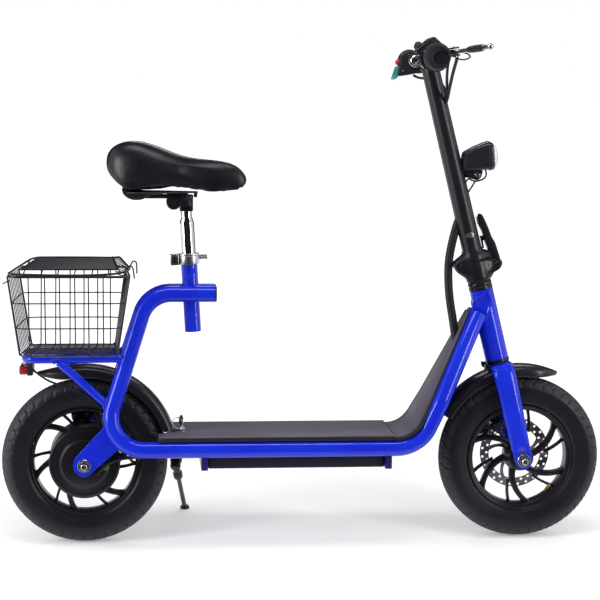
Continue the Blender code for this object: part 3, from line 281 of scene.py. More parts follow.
def tube(path, radius, place=LEVEL, sides=20, edge=0.5, closed=False):
    """Rings of path point + r (cos t N + sin t B), with N and B square to the path."""
    path = np.asarray(path, float)
    radius = np.broadcast_to(np.asarray(radius, float), (len(path),)).copy()
    if closed:
        along = np.roll(path, -1, 0) - np.roll(path, 1, 0)
    else:
        along = np.gradient(path, axis=0)
    along /= np.linalg.norm(along, axis=1, keepdims=True)
    if edge and not closed:
        first = [path[0] + along[0] * edge * k for k in (0, 0.3)]
        last = [path[-1] - along[-1] * edge * k for k in (0.3, 0)]
        ends = np.array([1, 0.3]) * edge
        radius = np.concatenate([radius[0] - ends, radius, radius[-1] - ends[::-1]])
        path = np.vstack([first, path, last])
        path[2] = path[0] + along[0] * edge
        path[-3] = path[-1] - along[-1] * edge
        along = np.vstack([along[:1], along[:1], along, along[-1:], along[-1:]])
    free = np.linalg.svd(along, full_matrices=False)[2][-1]
    b = free - (along @ free)[:, None] * along
    b /= np.linalg.norm(b, axis=1, keepdims=True)
    n = np.cross(b, along)
    t = np.linspace(0, 2 * np.pi, sides, endpoint=False)[None, :, None]
    spoke = np.cos(t) * n[:, None] + np.sin(t) * b[:, None]
    return skin(at(path[:, None] + radius[:, None, None] * spoke, place), along=closed)


# %% [markdown]
# ## From arrays to a piece
# A piece is one object that moves with one body of the CAD model. It is welded, its faces
# are turned outwards, and its smooth shading breaks at real edges.

# %% The function that every piece goes through
COUNT = {"triangles": 0}
WELD_DISTANCE = 2e-6


def put(name, data):
    """An object for a mesh, a lamp or a camera, linked into the scene."""
    obj = bpy.data.objects.new(name, data)
    bpy.context.scene.collection.objects.link(obj)
    return obj


def piece(name, shapes, body, finish, stands_for=None, sharp=38):
    """One object from several (points, faces) shapes, riding on a body."""
    points, faces, start = [], [], 0
    for p, f in shapes:
        points.append(p)
        faces += [row for group in f for row in (group + start).tolist()]
        start += len(p)
    mesh = bpy.data.meshes.new(name)
    mesh.from_pydata(np.concatenate(points).tolist(), [], faces)
    shape = bmesh.new()
    shape.from_mesh(mesh)
    bmesh.ops.remove_doubles(shape, verts=shape.verts, dist=WELD_DISTANCE)
    bmesh.ops.recalc_face_normals(shape, faces=shape.faces)
    shape.to_mesh(mesh)
    shape.free()
    mesh.shade_smooth()
    mesh.set_sharp_from_angle(angle=math.radians(sharp))
    mesh.materials.append(finish)
    obj = put(name, mesh)
    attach(obj, body)
    if stands_for:
        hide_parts(stands_for)
    COUNT["triangles"] += sum(len(f) - 2 for f in faces)
    return obj


# %% [markdown]
# ## Shader maths as Python
# Node trees are easier to read as formulas. The function add_node puts one node into a
# tree. The class Value wraps one output socket, so that 0.3 + 0.1 * noise writes the Math
# nodes itself. Finish owns a material, and its method node adds any node to it.

# %% Value and Finish


def add_node(tree, kind, sockets, **settings):
    """Add a node to any tree: sockets take another node's output or a plain value."""
    made = tree.nodes.new("ShaderNode" + kind)
    for key, value in settings.items():
        setattr(made, key, value)
    for key, value in sockets.items():
        if isinstance(value, bpy.types.NodeSocket):
            tree.links.new(value, made.inputs[key])
        else:
            made.inputs[key].default_value = value
    return made.outputs


class Value:
    """One output socket whose operators add Math nodes."""

    def __init__(self, finish, socket):
        self.finish, self.socket = finish, socket

    def math(self, kind, *terms):
        settings = {"operation": kind}
        return self.finish.node("Math", settings, dict(enumerate(terms)))

    def __add__(self, other):
        return self.math("ADD", self, other)

    def __sub__(self, other):
        return self.math("SUBTRACT", self, other)

    def __mul__(self, other):
        return self.math("MULTIPLY", self, other)

    def __rsub__(self, other):
        return self.math("SUBTRACT", other, self)

    def __gt__(self, other):
        return self.math("GREATER_THAN", self, other)

    __radd__, __rmul__ = __add__, __mul__

    def sin(self):
        return self.math("SINE", self)

    def soft(self, low, high):
        """0 below low, 1 above high and an S curve between them."""
        settings = {"interpolation_type": "SMOOTHSTEP"}
        sockets = {"Value": self, "From Min": low, "From Max": high}
        return self.finish.node("MapRange", settings, sockets)


class Finish:
    """A material: a Principled shader, and the nodes that vary it."""

    def __init__(self, name, slot=None, **plain):
        self.material = bpy.data.materials.new(name)
        self.material.use_nodes = True
        self.tree = self.material.node_tree
        self.shader = self.tree.nodes["Principled BSDF"]
        for key, value in plain.items():
            socket = self.shader.inputs[key.replace("_", " ").title().replace("Ior", "IOR")]
            socket.default_value = (*value, 1) if isinstance(value, tuple) else value

    def node(self, kind, settings=None, sockets=None, out=0):
        plain = {key: value.socket if isinstance(value, Value) else value
                 for key, value in (sockets or {}).items()}
        return Value(self, add_node(self.tree, kind, plain, **(settings or {}))[out])

    def here(self):
        """Object coordinates in metres."""
        return self.node("TexCoord", out="Object")

    def noise(self, scale, detail=3.0, rough=0.5):
        sockets = {"Vector": self.here(), "Scale": scale, "Detail": detail, "Roughness": rough}
        return self.node("TexNoise", {}, sockets)

    def cells(self, scale):
        """Distance to the nearest of many scattered points, for pebbled skins."""
        return self.node("TexVoronoi", {}, {"Vector": self.here(), "Scale": scale})

    def attribute(self, name):
        """The number that mark keeps on each vertex."""
        return self.node("Attribute", {"attribute_name": name}, out="Fac")

    def ridges(self, axis, scale):
        """A sine wave along one of the object's own axes, in radians per metre."""
        coordinate = self.node("SeparateXYZ", {}, {0: self.here()}, out=axis)
        return (coordinate * scale).sin()

    def mix(self, factor, first, second):
        """Colour between two colours, by a factor."""
        sockets = {0: factor}
        for slot, colour in ((6, first), (7, second)):
            sockets[slot] = (*colour, 1) if isinstance(colour, tuple) else colour
        return self.node("Mix", {"data_type": "RGBA"}, sockets, out=2)

    def feed(self, **links):
        for key, value in links.items():
            socket = self.shader.inputs[key.replace("_", " ").title()]
            self.tree.links.new(value.socket, socket)

    def bump(self, height, depth, strength=1.0):
        """Tilt the shading as if the surface rose by height times depth metres."""
        sockets = {"Height": height, "Distance": depth, "Strength": strength}
        self.feed(normal=self.node("Bump", {}, sockets))
        return self


def speckled(name, slot, colour, other, rough, spread, grain, depth, metallic=0.0, coat=0.0,
             pebble=False, blotch=9.0, shine=0.4, haze=0.05):
    """A base finish: two near colours in soft blotches, uneven gloss and a fine grain."""
    made = Finish(name, slot, base_color=colour, roughness=rough, metallic=metallic,
                  coat_weight=coat, coat_roughness=haze, specular_ior_level=shine)
    patches = made.noise(blotch, 4.0)
    made.feed(base_color=made.mix(patches.soft(0.35, 0.65), colour, other))
    made.feed(roughness=rough + spread * (made.noise(blotch * 6, 3.0) - 0.5))
    fine = made.cells(grain) if pebble else made.noise(grain, 2.0)
    return made.bump(fine, depth)


# %% [markdown]
# ## Finishes
# The frame is a saturated royal blue under clear lacquer. A gloss paint is mostly its
# reflections, so it gets a coat layer over a dull base and only the faintest orange peel.
# The black parts differ in grain and gloss rather than in colour: powder coat, moulded
# plastic, rubber, cast alloy and leather all sit near the same black.

# %% Paints, plastics and metals
BLACK, PALER_BLACK = (0.007, 0.0066, 0.0105), (0.011, 0.010, 0.0155)
royal = speckled("royal_paint", "blue_paint", (0.004, 0.018, 0.56), (0.006, 0.026, 0.61),
                 0.3, 0.06, 420, 0.00004, coat=0.65, shine=0.12, haze=0.1).material
satin = speckled("satin_black", "black_paint", BLACK, PALER_BLACK,
                 0.34, 0.1, 1500, 0.00005, coat=0.08).material
cast = speckled("cast_black", "cast_alloy", BLACK, PALER_BLACK,
                0.32, 0.1, 500, 0.00006, coat=0.1, shine=0.3).material
plastic = speckled("moulded_black", "black_plastic", (0.009, 0.0085, 0.013),
                   (0.014, 0.013, 0.019), 0.48, 0.1, 1500, 0.00009, pebble=True).material
grip_rubber = speckled("grip_rubber", "rubber", (0.010, 0.0095, 0.0145), (0.018, 0.017, 0.024),
                       0.62, 0.12, 1800, 0.0001, pebble=True).material
glossy = speckled("glossy_moulding", "black_plastic", (0.010, 0.0095, 0.0145),
                  (0.016, 0.015, 0.021), 0.3, 0.08, 700, 0.00004, coat=0.12, haze=0.15).material
cable_skin = speckled("cable_skin", "rubber", BLACK, (0.012, 0.011, 0.017),
                      0.42, 0.1, 900, 0.00005).material
wire_coat = speckled("wire_coat", "black_paint", (0.013, 0.012, 0.019), (0.021, 0.019, 0.029),
                     0.24, 0.12, 700, 0.00006, coat=0.3).material
zinc = speckled("zinc_plate", "steel", (0.6, 0.6, 0.62), (0.5, 0.5, 0.53),
                0.25, 0.16, 900, 0.00003, metallic=1.0, blotch=60).material
bare_alloy = speckled("bare_alloy", "aluminium", (0.66, 0.66, 0.68), (0.58, 0.58, 0.61),
                      0.32, 0.12, 1200, 0.00003, metallic=1.0, blotch=40).material
chrome = speckled("polished_chrome", "chrome", (0.7, 0.7, 0.72), (0.64, 0.64, 0.67),
                  0.07, 0.04, 30, 0.00002, metallic=1.0).material
brass = speckled("valve_brass", "steel", (0.55, 0.36, 0.13), (0.42, 0.26, 0.09),
                 0.35, 0.2, 900, 0.00004, metallic=1.0, blotch=90).material
screen = speckled("screen_glass", "black_plastic", (0.004, 0.005, 0.007), (0.006, 0.008, 0.01),
                  0.06, 0.03, 40, 0.00001, coat=1.0).material
green = speckled("green_seal", "rubber", (0.03, 0.2, 0.05), (0.05, 0.26, 0.08),
                 0.45, 0.1, 900, 0.0001, blotch=80).material
teal = speckled("teal_lens", "clear_lens", (0.03, 0.22, 0.25), (0.05, 0.32, 0.34),
                0.15, 0.06, 300, 0.00005, coat=0.8, blotch=60).material
wrap = speckled("cell_wrap", "cell_wrap", (0.02, 0.08, 0.3), (0.03, 0.1, 0.36),
                0.3, 0.1, 60, 0.0006).material

# %% [markdown]
# ## Tyres
# A pneumatic tyre is one profile turned round the axle. Its tread could be a bump texture,
# but the grooves cut the outline that is seen against the white background. So the profile
# is pressed in along its own normals, on a grid that is fine enough for a 3 mm groove. Each
# vertex also keeps a number that says how much it touches the road, for the material.

# %% Marks on a mesh, and the rubber that reads them


def vectors(mesh, key="co"):
    """The points of a mesh, or its normals, as an array."""
    flat = np.empty(len(mesh.vertices) * 3)
    mesh.vertices.foreach_get(key, flat)
    return flat.reshape(-1, 3)


def local(obj, place):
    """A piece's points in a place's millimetres: the inverse of at."""
    return (vectors(obj.data) - place[:3, 3]) @ place[:3, :3] / MM


def mark(obj, name, values):
    """Keep one number per vertex, for a material's Attribute node."""
    values = np.ascontiguousarray(np.clip(values, 0, 1), dtype=np.float32)
    obj.data.attributes.new(name, "FLOAT", "POINT").data.foreach_set("value", values)


tread = Finish("tyre_tread", "tyre_rubber", base_color=(0.009, 0.0085, 0.0125), roughness=0.5,
               specular_ior_level=0.28)
worn = tread.attribute("worn")
dust = tread.noise(22, 4.0).soft(0.35, 0.7)
tread.feed(base_color=tread.mix(worn * (0.55 + 0.45 * dust), (0.010, 0.0095, 0.014),
                                (0.046, 0.043, 0.054)))
tread.feed(roughness=0.38 + 0.16 * worn + 0.12 * (dust - 0.5))
tread.bump(tread.noise(1100, 2.0), 0.00008)

# %% Two tyres
GROOVES, GROOVE_PITCH = 44, 22
ABOVE_GROUND = 0.0004


def bell(distance, width):
    """A bell curve exp(-(d / w)^2): 1 at no distance, near 0 past twice the width."""
    return np.exp(-(distance / width) ** 2)


def tyre(name, place, body, node):
    """Profile (r, z) by arc length, turned by t, its tread pressed in along the normal.

    A groove's depth is a bell curve of the distance from it. Shoulder grooves repeat 44
    times round the tyre and lean, because their phase also grows with the radius.
    """
    half = np.array([(104.3, 17), (104.6, 20), (110, 24), (118, 26.6), (128, 28.4), (137, 28.2),
                     (146, 25.2), (152.5, 19.8), (157, 11.5), (159, 0)])
    loop = np.vstack([half, half[-2::-1] * (1, -1)])
    profile = even(curve(np.c_[loop, 0 * loop[:, 0]], 10), 1.9)[:, :2]
    slope = np.gradient(profile, axis=0)
    slope /= np.linalg.norm(slope, axis=1, keepdims=True)
    outward = np.stack([-slope[:, 1], slope[:, 0]], 1)
    r, z = profile.T
    t = np.linspace(0, 2 * np.pi, 880, endpoint=False)[:, None]
    phase = GROOVES * t / (2 * np.pi) + 0.5 * (z < 0) - 0.035 * (159 - r) + 0.12 * np.sin(0.45 * r)
    shoulder = np.clip((r - 139) / 5, 0, 1) * np.clip((np.abs(z) - 9) / 3, 0, 1)
    away = (np.mod(phase, 1) - 0.5) * GROOVE_PITCH
    short = (np.mod(phase + 0.5, 1) - 0.5) * GROOVE_PITCH
    inner = np.clip((r - 151) / 2, 0, 1) * np.clip((np.abs(z) - 2) / 3, 0, 1)
    groove = 2.6 * bell(away, 1.7) * shoulder
    groove = groove + 1.3 * bell(short, 1.3) * inner
    groove = groove + 1.9 * bell(np.abs(z) - 8.5, 1.2) * (r > 150)
    ridges = 0.9 * bell(r - 111, 1.2) + 0.7 * bell(r - 137, 1.1)
    lift = (ridges - groove)[..., None] * outward
    ring_r, ring_z = r + lift[..., 0], z + lift[..., 1]
    rings = np.stack([ring_r * np.cos(t), ring_r * np.sin(t), ring_z], -1)
    points, faces = skin(at(rings, place), along=True)
    points[:, 2] = np.maximum(points[:, 2], ABOVE_GROUND)
    obj = piece(name, [(points, faces)], body, tread.material, node, sharp=60)
    x, y, _ = local(obj, place).T
    mark(obj, "worn", (np.hypot(x, y) - 139) / 13)
    return obj


rear_tread = tyre("rear_tyre_tread", REAR, "rear_wheel", "rear_tyre")
tyre("front_tyre_tread", FRONT, "front_wheel", "front_tyre")
print("tyre quads", len(rear_tread.data.polygons))

# %% [markdown]
# ## Fasteners
# Screws, nuts and washers are small, but they are where the eye checks whether a machine is
# real. A screw head is a run of rings that starts round and ends in a hexagon, so it is one
# closed skin like everything else.

# %% Screws, nuts, washers and rivets


def screw(place, radius=3.0, height=2.4, socket=0.5):
    """A round head with a hexagonal socket: a hexagon's radius is a / cos(t mod 60 - 30)."""
    t = np.linspace(0, 2 * np.pi, 24, endpoint=False)
    six = socket * radius * 0.88 / np.cos(np.mod(t, np.pi / 3) - np.pi / 6)
    ease = min(0.3 * height, 0.3 * radius)
    radii = [r + 0 * t for r in (radius, radius, radius - 0.3 * ease, radius - ease)]
    radii += [six + 0.1, six, six]
    levels = [0, height - ease, height - 0.3 * ease, height, height, height - 0.1, 0.4 * height]
    rings = [np.c_[s * np.cos(t), s * np.sin(t), 0 * t + h] for s, h in zip(radii, levels)]
    return skin(at(rings, place))


def nut(place, across=17.0, low=0.0, high=8.0):
    """A hexagonal prism; slab's move along the normals gives it chamfered corners."""
    return slab(circle(across / math.sqrt(3), 6, start=30), low, high, place, 0.7)


def washer(place, inner, outer, low, high):
    """A flat ring with eased edges."""
    return ring_tube(outer, inner, low, high, place, 40, 0.25 * (high - low))


def rivet(place, radius=3.0, height=1.4):
    """A domed head: radius times (sin, cos) of a quarter turn."""
    t = np.linspace(0, np.pi / 2, 6)
    dome = np.stack([radius * np.sin(t), height * np.cos(t)], 1)
    return lathe(np.vstack([dome, [(radius, -0.6), (0, -0.6)]]), place, 20)


# %% [markdown]
# ## Cast wheels
# Both rims carry six pairs of swept spokes, a thick one and a thin one that leans the other
# way. Each spoke is a rounded box whose angle turns as its radius grows, with a flared foot
# at both ends, so its faces stay smooth where the cast arms flow into the ring.

# %% Rims, spokes and the hub motor's shell


def spokes(first, inner, outer, place):
    """Rings at growing radii r, at the angle a + b r; each is a superellipse across it."""
    t = np.radians(np.arange(0, 360, 18) + 9)
    across, deep = keep_sign(np.cos(t), 0.45), keep_sign(np.sin(t), 0.45)
    shapes = []
    thick, thin = (-7.336, 0.514, 6.3, 8.2, inner), (-6.8, 0.28, 2.7, 6.0, max(inner, 51))
    for offset, growth, half, depth, start in (thick, thin):
        r = np.linspace(start, outer, 16)
        foot = 1 + 0.35 * np.exp(-(r - start) / 4) + 0.5 * np.exp(-(outer - r) / 3.5)
        for k in range(6):
            middle = np.radians(first + 60 * k + offset + growth * r)
            angle = middle[:, None] + (half * foot / r)[:, None] * across
            rings = np.stack([r[:, None] * np.cos(angle), r[:, None] * np.sin(angle),
                              depth * deep + 0 * angle], -1)
            shapes.append(skin(at(rings, place)))
    return shapes


def mirrored(half):
    """A profile's points (r, z) in reverse on the other side of the middle plane."""
    return [(r, -z) for r, z in reversed(half)]


def rim_ring(opening, place):
    """The rim's ring: an inner lip, a flat flank and a raised edge beside the tyre's bead."""
    half = [(opening, 15.5), (opening + 0.6, 18), (opening + 2.4, 19.4), (100.3, 19.7),
            (101.6, 20.3), (102.6, 21.4), (103.6, 21.3), (103.9, 20)]
    return lathe(half + mirrored(half), place, 144, closed=True)


motor_shell = [(12, 46.4), (42, 46.4), (44, 45.9), (45.6, 44.6), (46.4, 42.8), (47.4, 42.0),
               (49, 41.7), (58.5, 41.4), (59.2, 40.5), (61.3, 40.5), (62, 41.3), (65, 41.1),
               (67, 40.2), (68, 38.2), (68, -35.8), (64, -35.8), (64, 37), (12, 37)]
piece("rear_rim_casting", [rim_ring(97, REAR), lathe(motor_shell, REAR, 112, closed=True)]
      + spokes(-25, 66.5, 98.5, REAR), "rear_wheel", cast, "rear_rim", sharp=42)
cover = [(12, -36.4), (66, -36.4), (68, -37), (68, -39.4), (66.6, -40.4), (52, -41), (50, -42.2),
         (34, -43), (32, -44), (31, -46.4), (12, -46.6)]
cover_screws = [screw(REAR @ turn("z", 60 * k + 10) @ shift(59, 0, -39.9) @ FLIP, 2.6, 1.1)
                for k in range(6)]
piece("hub_cover_casting", [lathe(cover, REAR, 112, closed=True)] + cover_screws, "rear_wheel",
      cast, "hub_cover", sharp=42)
hub = [(16, 34), (23, 34), (24, 33.4), (25.5, 24), (28, 14), (29.5, 8), (29.5, -8), (28, -14),
       (25.5, -24), (24.4, -31.4), (23.6, -32), (16, -32)]
piece("front_rim_casting", [rim_ring(93.5, FRONT), lathe(hub, FRONT, 72, closed=True)]
      + spokes(0, 26, 95, FRONT), "front_wheel", cast, "front_rim", sharp=42)
seal = REAR @ shift(40.5, -5.5, 46.4)
bung = [(0, 0.6), (3, 0.6), (3.6, 1.6), (5.6, 1.6), (6.6, 0.4), (6.8, -0.2), (0, -0.2)]
piece("motor_seal", [lathe(bung, seal, 24), rivet(seal @ shift(0, 0, 0.4), 1.5, 0.5)],
      "rear_wheel", green)

# %% [markdown]
# ## Brake discs
# The holes in a disc show the white background through the far side of the wheel. The
# rubbing ring is a mosaic of tiles, each a square with a round hole: four rings of sixteen
# points go from the square's edge into the hole, down its wall and out to the edge again.

# %% Discs with two staggered rows of holes
disc_steel = speckled("brushed_disc", "steel", (0.5, 0.48, 0.56), (0.42, 0.4, 0.48), 0.46, 0.12,
                      900, 0.00003, metallic=0.9, blotch=50).material
REAR_DISC, FRONT_DISC = -47.8, -33.3
HALF_PLATE = 0.95


def disc(name, place, level, body, node):
    """Tiles in polar coordinates (r, angle), a hub plate, five swept arms and their bolts."""
    t = np.radians(np.arange(16) * 22.5)
    ray = np.stack([np.cos(t), np.sin(t)])
    edge = ray / np.abs(ray).max(0)
    shapes = []
    for row, middle in enumerate((56.4, 65.1)):
        half = np.array([[4.35], [math.pi / 24]])
        square = edge * half
        hole = ray * np.array([[2.55], [2.55 / middle]])
        for k in range(24):
            centre = np.array([[middle], [math.pi / 12 * (k + 0.5 * row)]])
            rings = []
            for shape, side in ((square, 1), (hole, 1), (hole, -1), (square, -1)):
                r, angle = centre + shape
                z = level + side * HALF_PLATE + 0 * r
                rings.append(np.stack([r * np.cos(angle), r * np.sin(angle), z], 1))
            shapes.append(skin(at(rings, place), caps=False))
    shapes += [lathe([(r, level - HALF_PLATE), (r, level + HALF_PLATE)], place, 192)
               for r in (52.05, 69.45)]
    arm_r = np.linspace(22, 53.5, 10)
    bend = np.radians(0.9 * (arm_r - 22))
    half = (3.6 + 2.2 * ((arm_r - 38) / 16) ** 2) / arm_r
    right, left = (np.stack([arm_r * np.cos(bend + turned), arm_r * np.sin(bend + turned)], 1)
                   for turned in (-half, half))
    outline = np.vstack([right, left[::-1]])
    for k in range(5):
        turned = place @ turn("z", 72 * k)
        shapes.append(slab(outline, level - 0.9, level + 0.9, turned, 0.3))
        shapes.append(screw(turned @ shift(19.5, 0, level - 0.9) @ FLIP, 2.5, 1.5))
    shapes.append(washer(place, 12.4, 25, level - 0.9, level + 0.9))
    return piece(name, shapes, body, disc_steel, node)


disc("rear_disc_plate", REAR, REAR_DISC, "rear_wheel", "rear_disc")
disc("front_disc_plate", FRONT, FRONT_DISC, "front_wheel", "front_disc")

# %% [markdown]
# ## Valves and axles
# A tyre valve is a short stem with a threaded brass core. The front one is brass
# throughout, and the rear one is rubber. The axles end in threads with washers and
# hexagonal nuts; the front one has a teardrop washer whose tip hooks into the fork.

# %% Valves, shafts, washers and nuts


def valve(name, place, radius, angle, body, lean, stem_finish):
    """A bent tube from the rim towards the hub, its tip leaning along the rim."""
    base = place @ turn("z", angle)
    route = curve([(radius + 6, 0, 0), (radius - 2, 0, 2), (radius - 6, 0.6 * lean, 6),
                   (radius - 10, 2 * lean, 12)], 6)
    tip_path = even(route[11:], 0.5)
    thread = 2.7 + 0.25 * np.sign(np.sin(np.arange(len(tip_path)) * 1.9))
    piece(name + "_stem", [tube(route[:12], 3.4, base, 16)], body, stem_finish)
    piece(name + "_core", [tube(tip_path, thread, base, 16, edge=0.4)], body, brass)


valve("front_valve", FRONT, 93.5, -50.7, "front_wheel", 7, brass)
valve("rear_valve", REAR, 97, -4, "rear_wheel", 4, grip_rubber)


def axle(name, place, inner, face, body, node, teardrop=False):
    """A stepped shaft, and outside each dropout a washer, a nut and the end of the thread."""
    z = np.arange(face + 8.6, face + 12.6, 0.25)
    thread = np.stack([5.6 + 0.3 * np.sin(z * 2 * np.pi), z], 1)
    side = [(0, face + 13.1), (4.6, face + 13.1), *thread[::-1].tolist(), (5.8, face),
            (5.8, inner - 0.3), (8.4, inner - 0.3), (8.4, 0)]
    shapes = [lathe(side + mirrored(side), place, 28)]
    for flip in (place, place @ FLIP):
        shapes += [nut(flip @ turn("z", 12), 17, face + 2.0, face + 9.4),
                   washer(flip, 6.1, 12.6, face + 0.1, face + 1.9)]
        if teardrop:
            tip = soften([(-8.5, 6), (0, 25), (8.5, 6), (12, -2), (7, -11), (-7, -11), (-12, -2)],
                         5, 5)
            shapes.append(slab(tip, face + 0.2, face + 1.7, flip @ turn("z", 8), 0.4))
    return piece(name, shapes, body, zinc, node, sharp=30)


axle("rear_axle_nuts", REAR, 59.7, 66.3, "frame", "rear_axle")
axle("front_axle_nuts", FRONT, 50.6, 58.4, "steering", "front_axle", teardrop=True)
print("triangles so far", COUNT["triangles"])

# %% [markdown]
# ## The welded frame
# Two bent tubes run the whole way from under the saddle, down behind the rear wheel's hub,
# along the deck and up to the head tube. They are drawn as circles along straight runs and
# true arcs. Where tubes meet, a welder leaves a rippled bead, so the bead follows the exact
# curve where one cylinder enters another.

# %% Weld beads and the tubes of the frame
TUBE, DECK_LEVEL, RAIL_LEVEL = 15.9, 190, 482.5


def bead(start, direction, radius, other, other_direction, other_radius, root=-1, size=2.4,
         place=LEVEL):
    """The curve p = c(t) + s d on the second cylinder, where s solves a quadratic.

    c(t) runs round the first tube. Without its part along the other axis e, the distance
    from the other axis is |w + s v|, so s^2 v.v + 2 s v.w + w.w = R^2.
    """
    d = np.array(direction, float) / np.linalg.norm(direction)
    e = np.array(other_direction, float) / np.linalg.norm(other_direction)
    n = np.cross(d, (0.1, 0.2, 0.9))
    n /= np.linalg.norm(n)
    t = np.linspace(0, 2 * np.pi, 150, endpoint=False)[:, None]
    c = np.array(start, float) + radius * (np.cos(t) * n + np.sin(t) * np.cross(d, n))
    w = c - np.array(other, float)
    w = w - (w @ e)[:, None] * e
    v = d - (d @ e) * e
    half = w @ v / (v @ v)
    rest = half ** 2 - (np.sum(w * w, 1) - other_radius ** 2) / (v @ v)
    s = -half + root * np.sqrt(np.maximum(rest, 0))
    ripple = size * (1 + 0.14 * np.sin(30 * t[:, 0]))
    return tube(c + s[:, None] * d, ripple, place, 10, closed=True)


def main_tube(side):
    """The corners of one of the twin tubes, as on the drawing, with bends of 60 to 90 mm."""
    corners = [(250, side * 22, RAIL_LEVEL), (122.2, side * 24, RAIL_LEVEL),
               (28.8, side * 76, DECK_LEVEL), (640.7, side * 75, DECK_LEVEL),
               (682.4, side * 70, 277), (762, side * 19, 443)]
    return bends(corners, (60, 63, 70, 90), 26)


shapes = [tube(main_tube(side), TUBE, sides=44, edge=1.2) for side in (-1, 1)]
shapes.append(ring_tube(23, 17.5, -153, -11, HEAD, 80))
rack = [(78, -50, 362), (-110, -59, 362), (-110, 59, 362), (78, 50, 362)]
shapes.append(tube(bends(rack, (24, 24), 16), 7.5, sides=26))
shapes += [tube([(-47, side * 59, 358), (56, side * 61, 264)], 8, sides=28) for side in (-1, 1)]
shapes.append(tube([(178, -72, DECK_LEVEL), (178, 72, DECK_LEVEL)], 12, sides=32))
head_axis = HEAD[:3, 2] @ LEVEL[:3, :3]
for side in (-1, 1):
    foot, top = (28.8, side * 76, DECK_LEVEL), (122.2, side * 24, RAIL_LEVEL)
    fall = np.array(foot) - top
    strut, rail_way = (-47, side * 59, 358), (188, -side * 9, 0)
    shapes += [bead(strut, (103, side * 2, -94), 8.3, foot, fall, 16),
               bead(strut, (-103, -side * 2, 94), 8.3, (0, side * 54.7, 362), rail_way, 7.6,
                    size=1.6),
               bead((-110, side * 59, 362), rail_way, 7.8, foot, fall, 16, size=2),
               bead((178, 0, DECK_LEVEL), (0, side, 0), 12.2, (100, side * 75, DECK_LEVEL),
                    (1, 0, 0), 16),
               bead((682.4, side * 70, 277), (79.6, -51 * side, 166), 16.1, (767, 0, 500),
                    head_axis, 23.1, size=2.6)]
print("frame shapes", len(shapes))

# %% [markdown]
# The seat tube is slit so that its collar can squeeze it. The upper part is therefore an
# outline like a letter C carried upwards, and the lower part is a closed ring. The
# dropouts are flat plates, and the kickstand's boss is turned about its own slanted pin.

# %% Seat tube, plates, dropouts and the kickstand's boss
shapes.append(slab(letter_c(TUBE, 14.3, -86, 266, 60), -22, 12, SEAT @ turn("z", -4), 0.3))
shapes.append(ring_tube(TUBE, 14.3, -134, -21.8, SEAT, 64, 0.2))


def dropout(side):
    """The plate that holds the axle; the far one reaches higher, for the caliper."""
    corners = [(-19, 13), (-21, -3), (-16, -14), (-5, -21), (5, -21), (15, -13), (66, 32),
               (74, 60), (40, 77)]
    reach, low = [9, 9, 9, 9, 9, 9, 4, 2, 2], 60
    if side > 0:
        corners, reach, low = corners + [(-8, 82), (-16, 60)], reach + [6, 9], -66
    return slab(soften(corners, reach, 4), low, low + 6, REAR, 0.9)


shapes += [dropout(-1), dropout(1)]
foot = np.array([197.0, 184.0, 20.5])
hinge = np.array([176.0, 72.0, 134.0])
leg = (foot - hinge) / np.linalg.norm(foot - hinge)
fold = np.cross(leg, (-0.99, 0.13, 0.02))
fold /= np.linalg.norm(fold)
STAND = LEVEL @ shift(*hinge) @ along_axes(leg, np.cross(fold, leg), fold)
boss = [(0, 27), (11.4, 27), (12, 26.4), (12, 7), (4, 7), (4, -7.3), (8, -7.3), (8, -11),
        (0, -11)]
piece("stand_boss", [lathe(boss, STAND, 36), block((130, 66, 161), (206, 88, 166)),
                     block((138, 62, 153), (180, 92, 184), edge=2)], "frame", satin)
# Painted shade: the plates at both ends of the battery case are a dark navy instead of the frame's
# royal blue. The navy stands in for the shadow under the deck.
painted_shade = speckled("painted_shade_navy", "blue_paint", (0.003, 0.006, 0.11), (0.004, 0.008, 0.14),
                 0.4, 0.08, 420, 0.00004, coat=0.4)
piece("case_plates", [block((low, -70, 148), (low + 13, 70, 197), corner=1.5)
                      for low in (222, 576)], "frame", painted_shade.material)
shapes.append(block((-31, -63, 336), (-24, -57, 348), corner=1.5))
shapes.append(bead((200.4, 0, 541.9), SEAT[:3, 2] @ LEVEL[:3, :3], 16.2, (250, -22, RAIL_LEVEL),
                   (-1, 0, 0), TUBE, root=1, size=1.6))
piece("frame_weldment", shapes, "frame", royal, "main_frame", sharp=34)

# %% [markdown]
# ## Deck and shield
# The rider's feet rest on a moulded tray with a pebbled skin. It bends up in front into a
# shield. The tray is an outline with a notch behind. The shield's section, with a low
# ridge near each edge, is carried up the same bend as the tubes under it and narrows
# towards the top. On both, a number per vertex says which faces are the tops, and these are
# painted a paler grey as a painted sheen: the studio's reflection on the dark plastic.

# %% Deck finish, tray, shield and the cables' grommet
deck_skin = speckled("deck_plastic", "black_plastic", (0.075, 0.066, 0.1), (0.095, 0.085, 0.125),
                     0.5, 0.08, 650, 0.00022, pebble=True)
# Painted sheen: the tops get a paler grey in soft blotches and the sides stay dark. The paler grey
# stands in for the studio's reflection on the dark plastic.
worn = deck_skin.noise(9, 4.0).soft(0.35, 0.65)
painted_sheen_greys = deck_skin.mix(worn, (0.075, 0.066, 0.098), (0.095, 0.084, 0.122))
upper = deck_skin.attribute("top")
deck_skin.feed(base_color=deck_skin.mix(upper.soft(0.1, 0.9), (0.012, 0.011, 0.015), painted_sheen_greys))
notched = [(592.6, -87), (592.6, 87), (140, 87), (140, 42), (159, 42), (159, -42), (140, -42),
           (140, -87)]
tray = slab(soften(notched, [0.6, 0.6, 9, 4, 4, 4, 4, 9], 5), 206.4, 216.4, LEVEL, 2.4)
deck = piece("deck_tray", [tray], "frame", deck_skin.material, "deck_board", sharp=40)
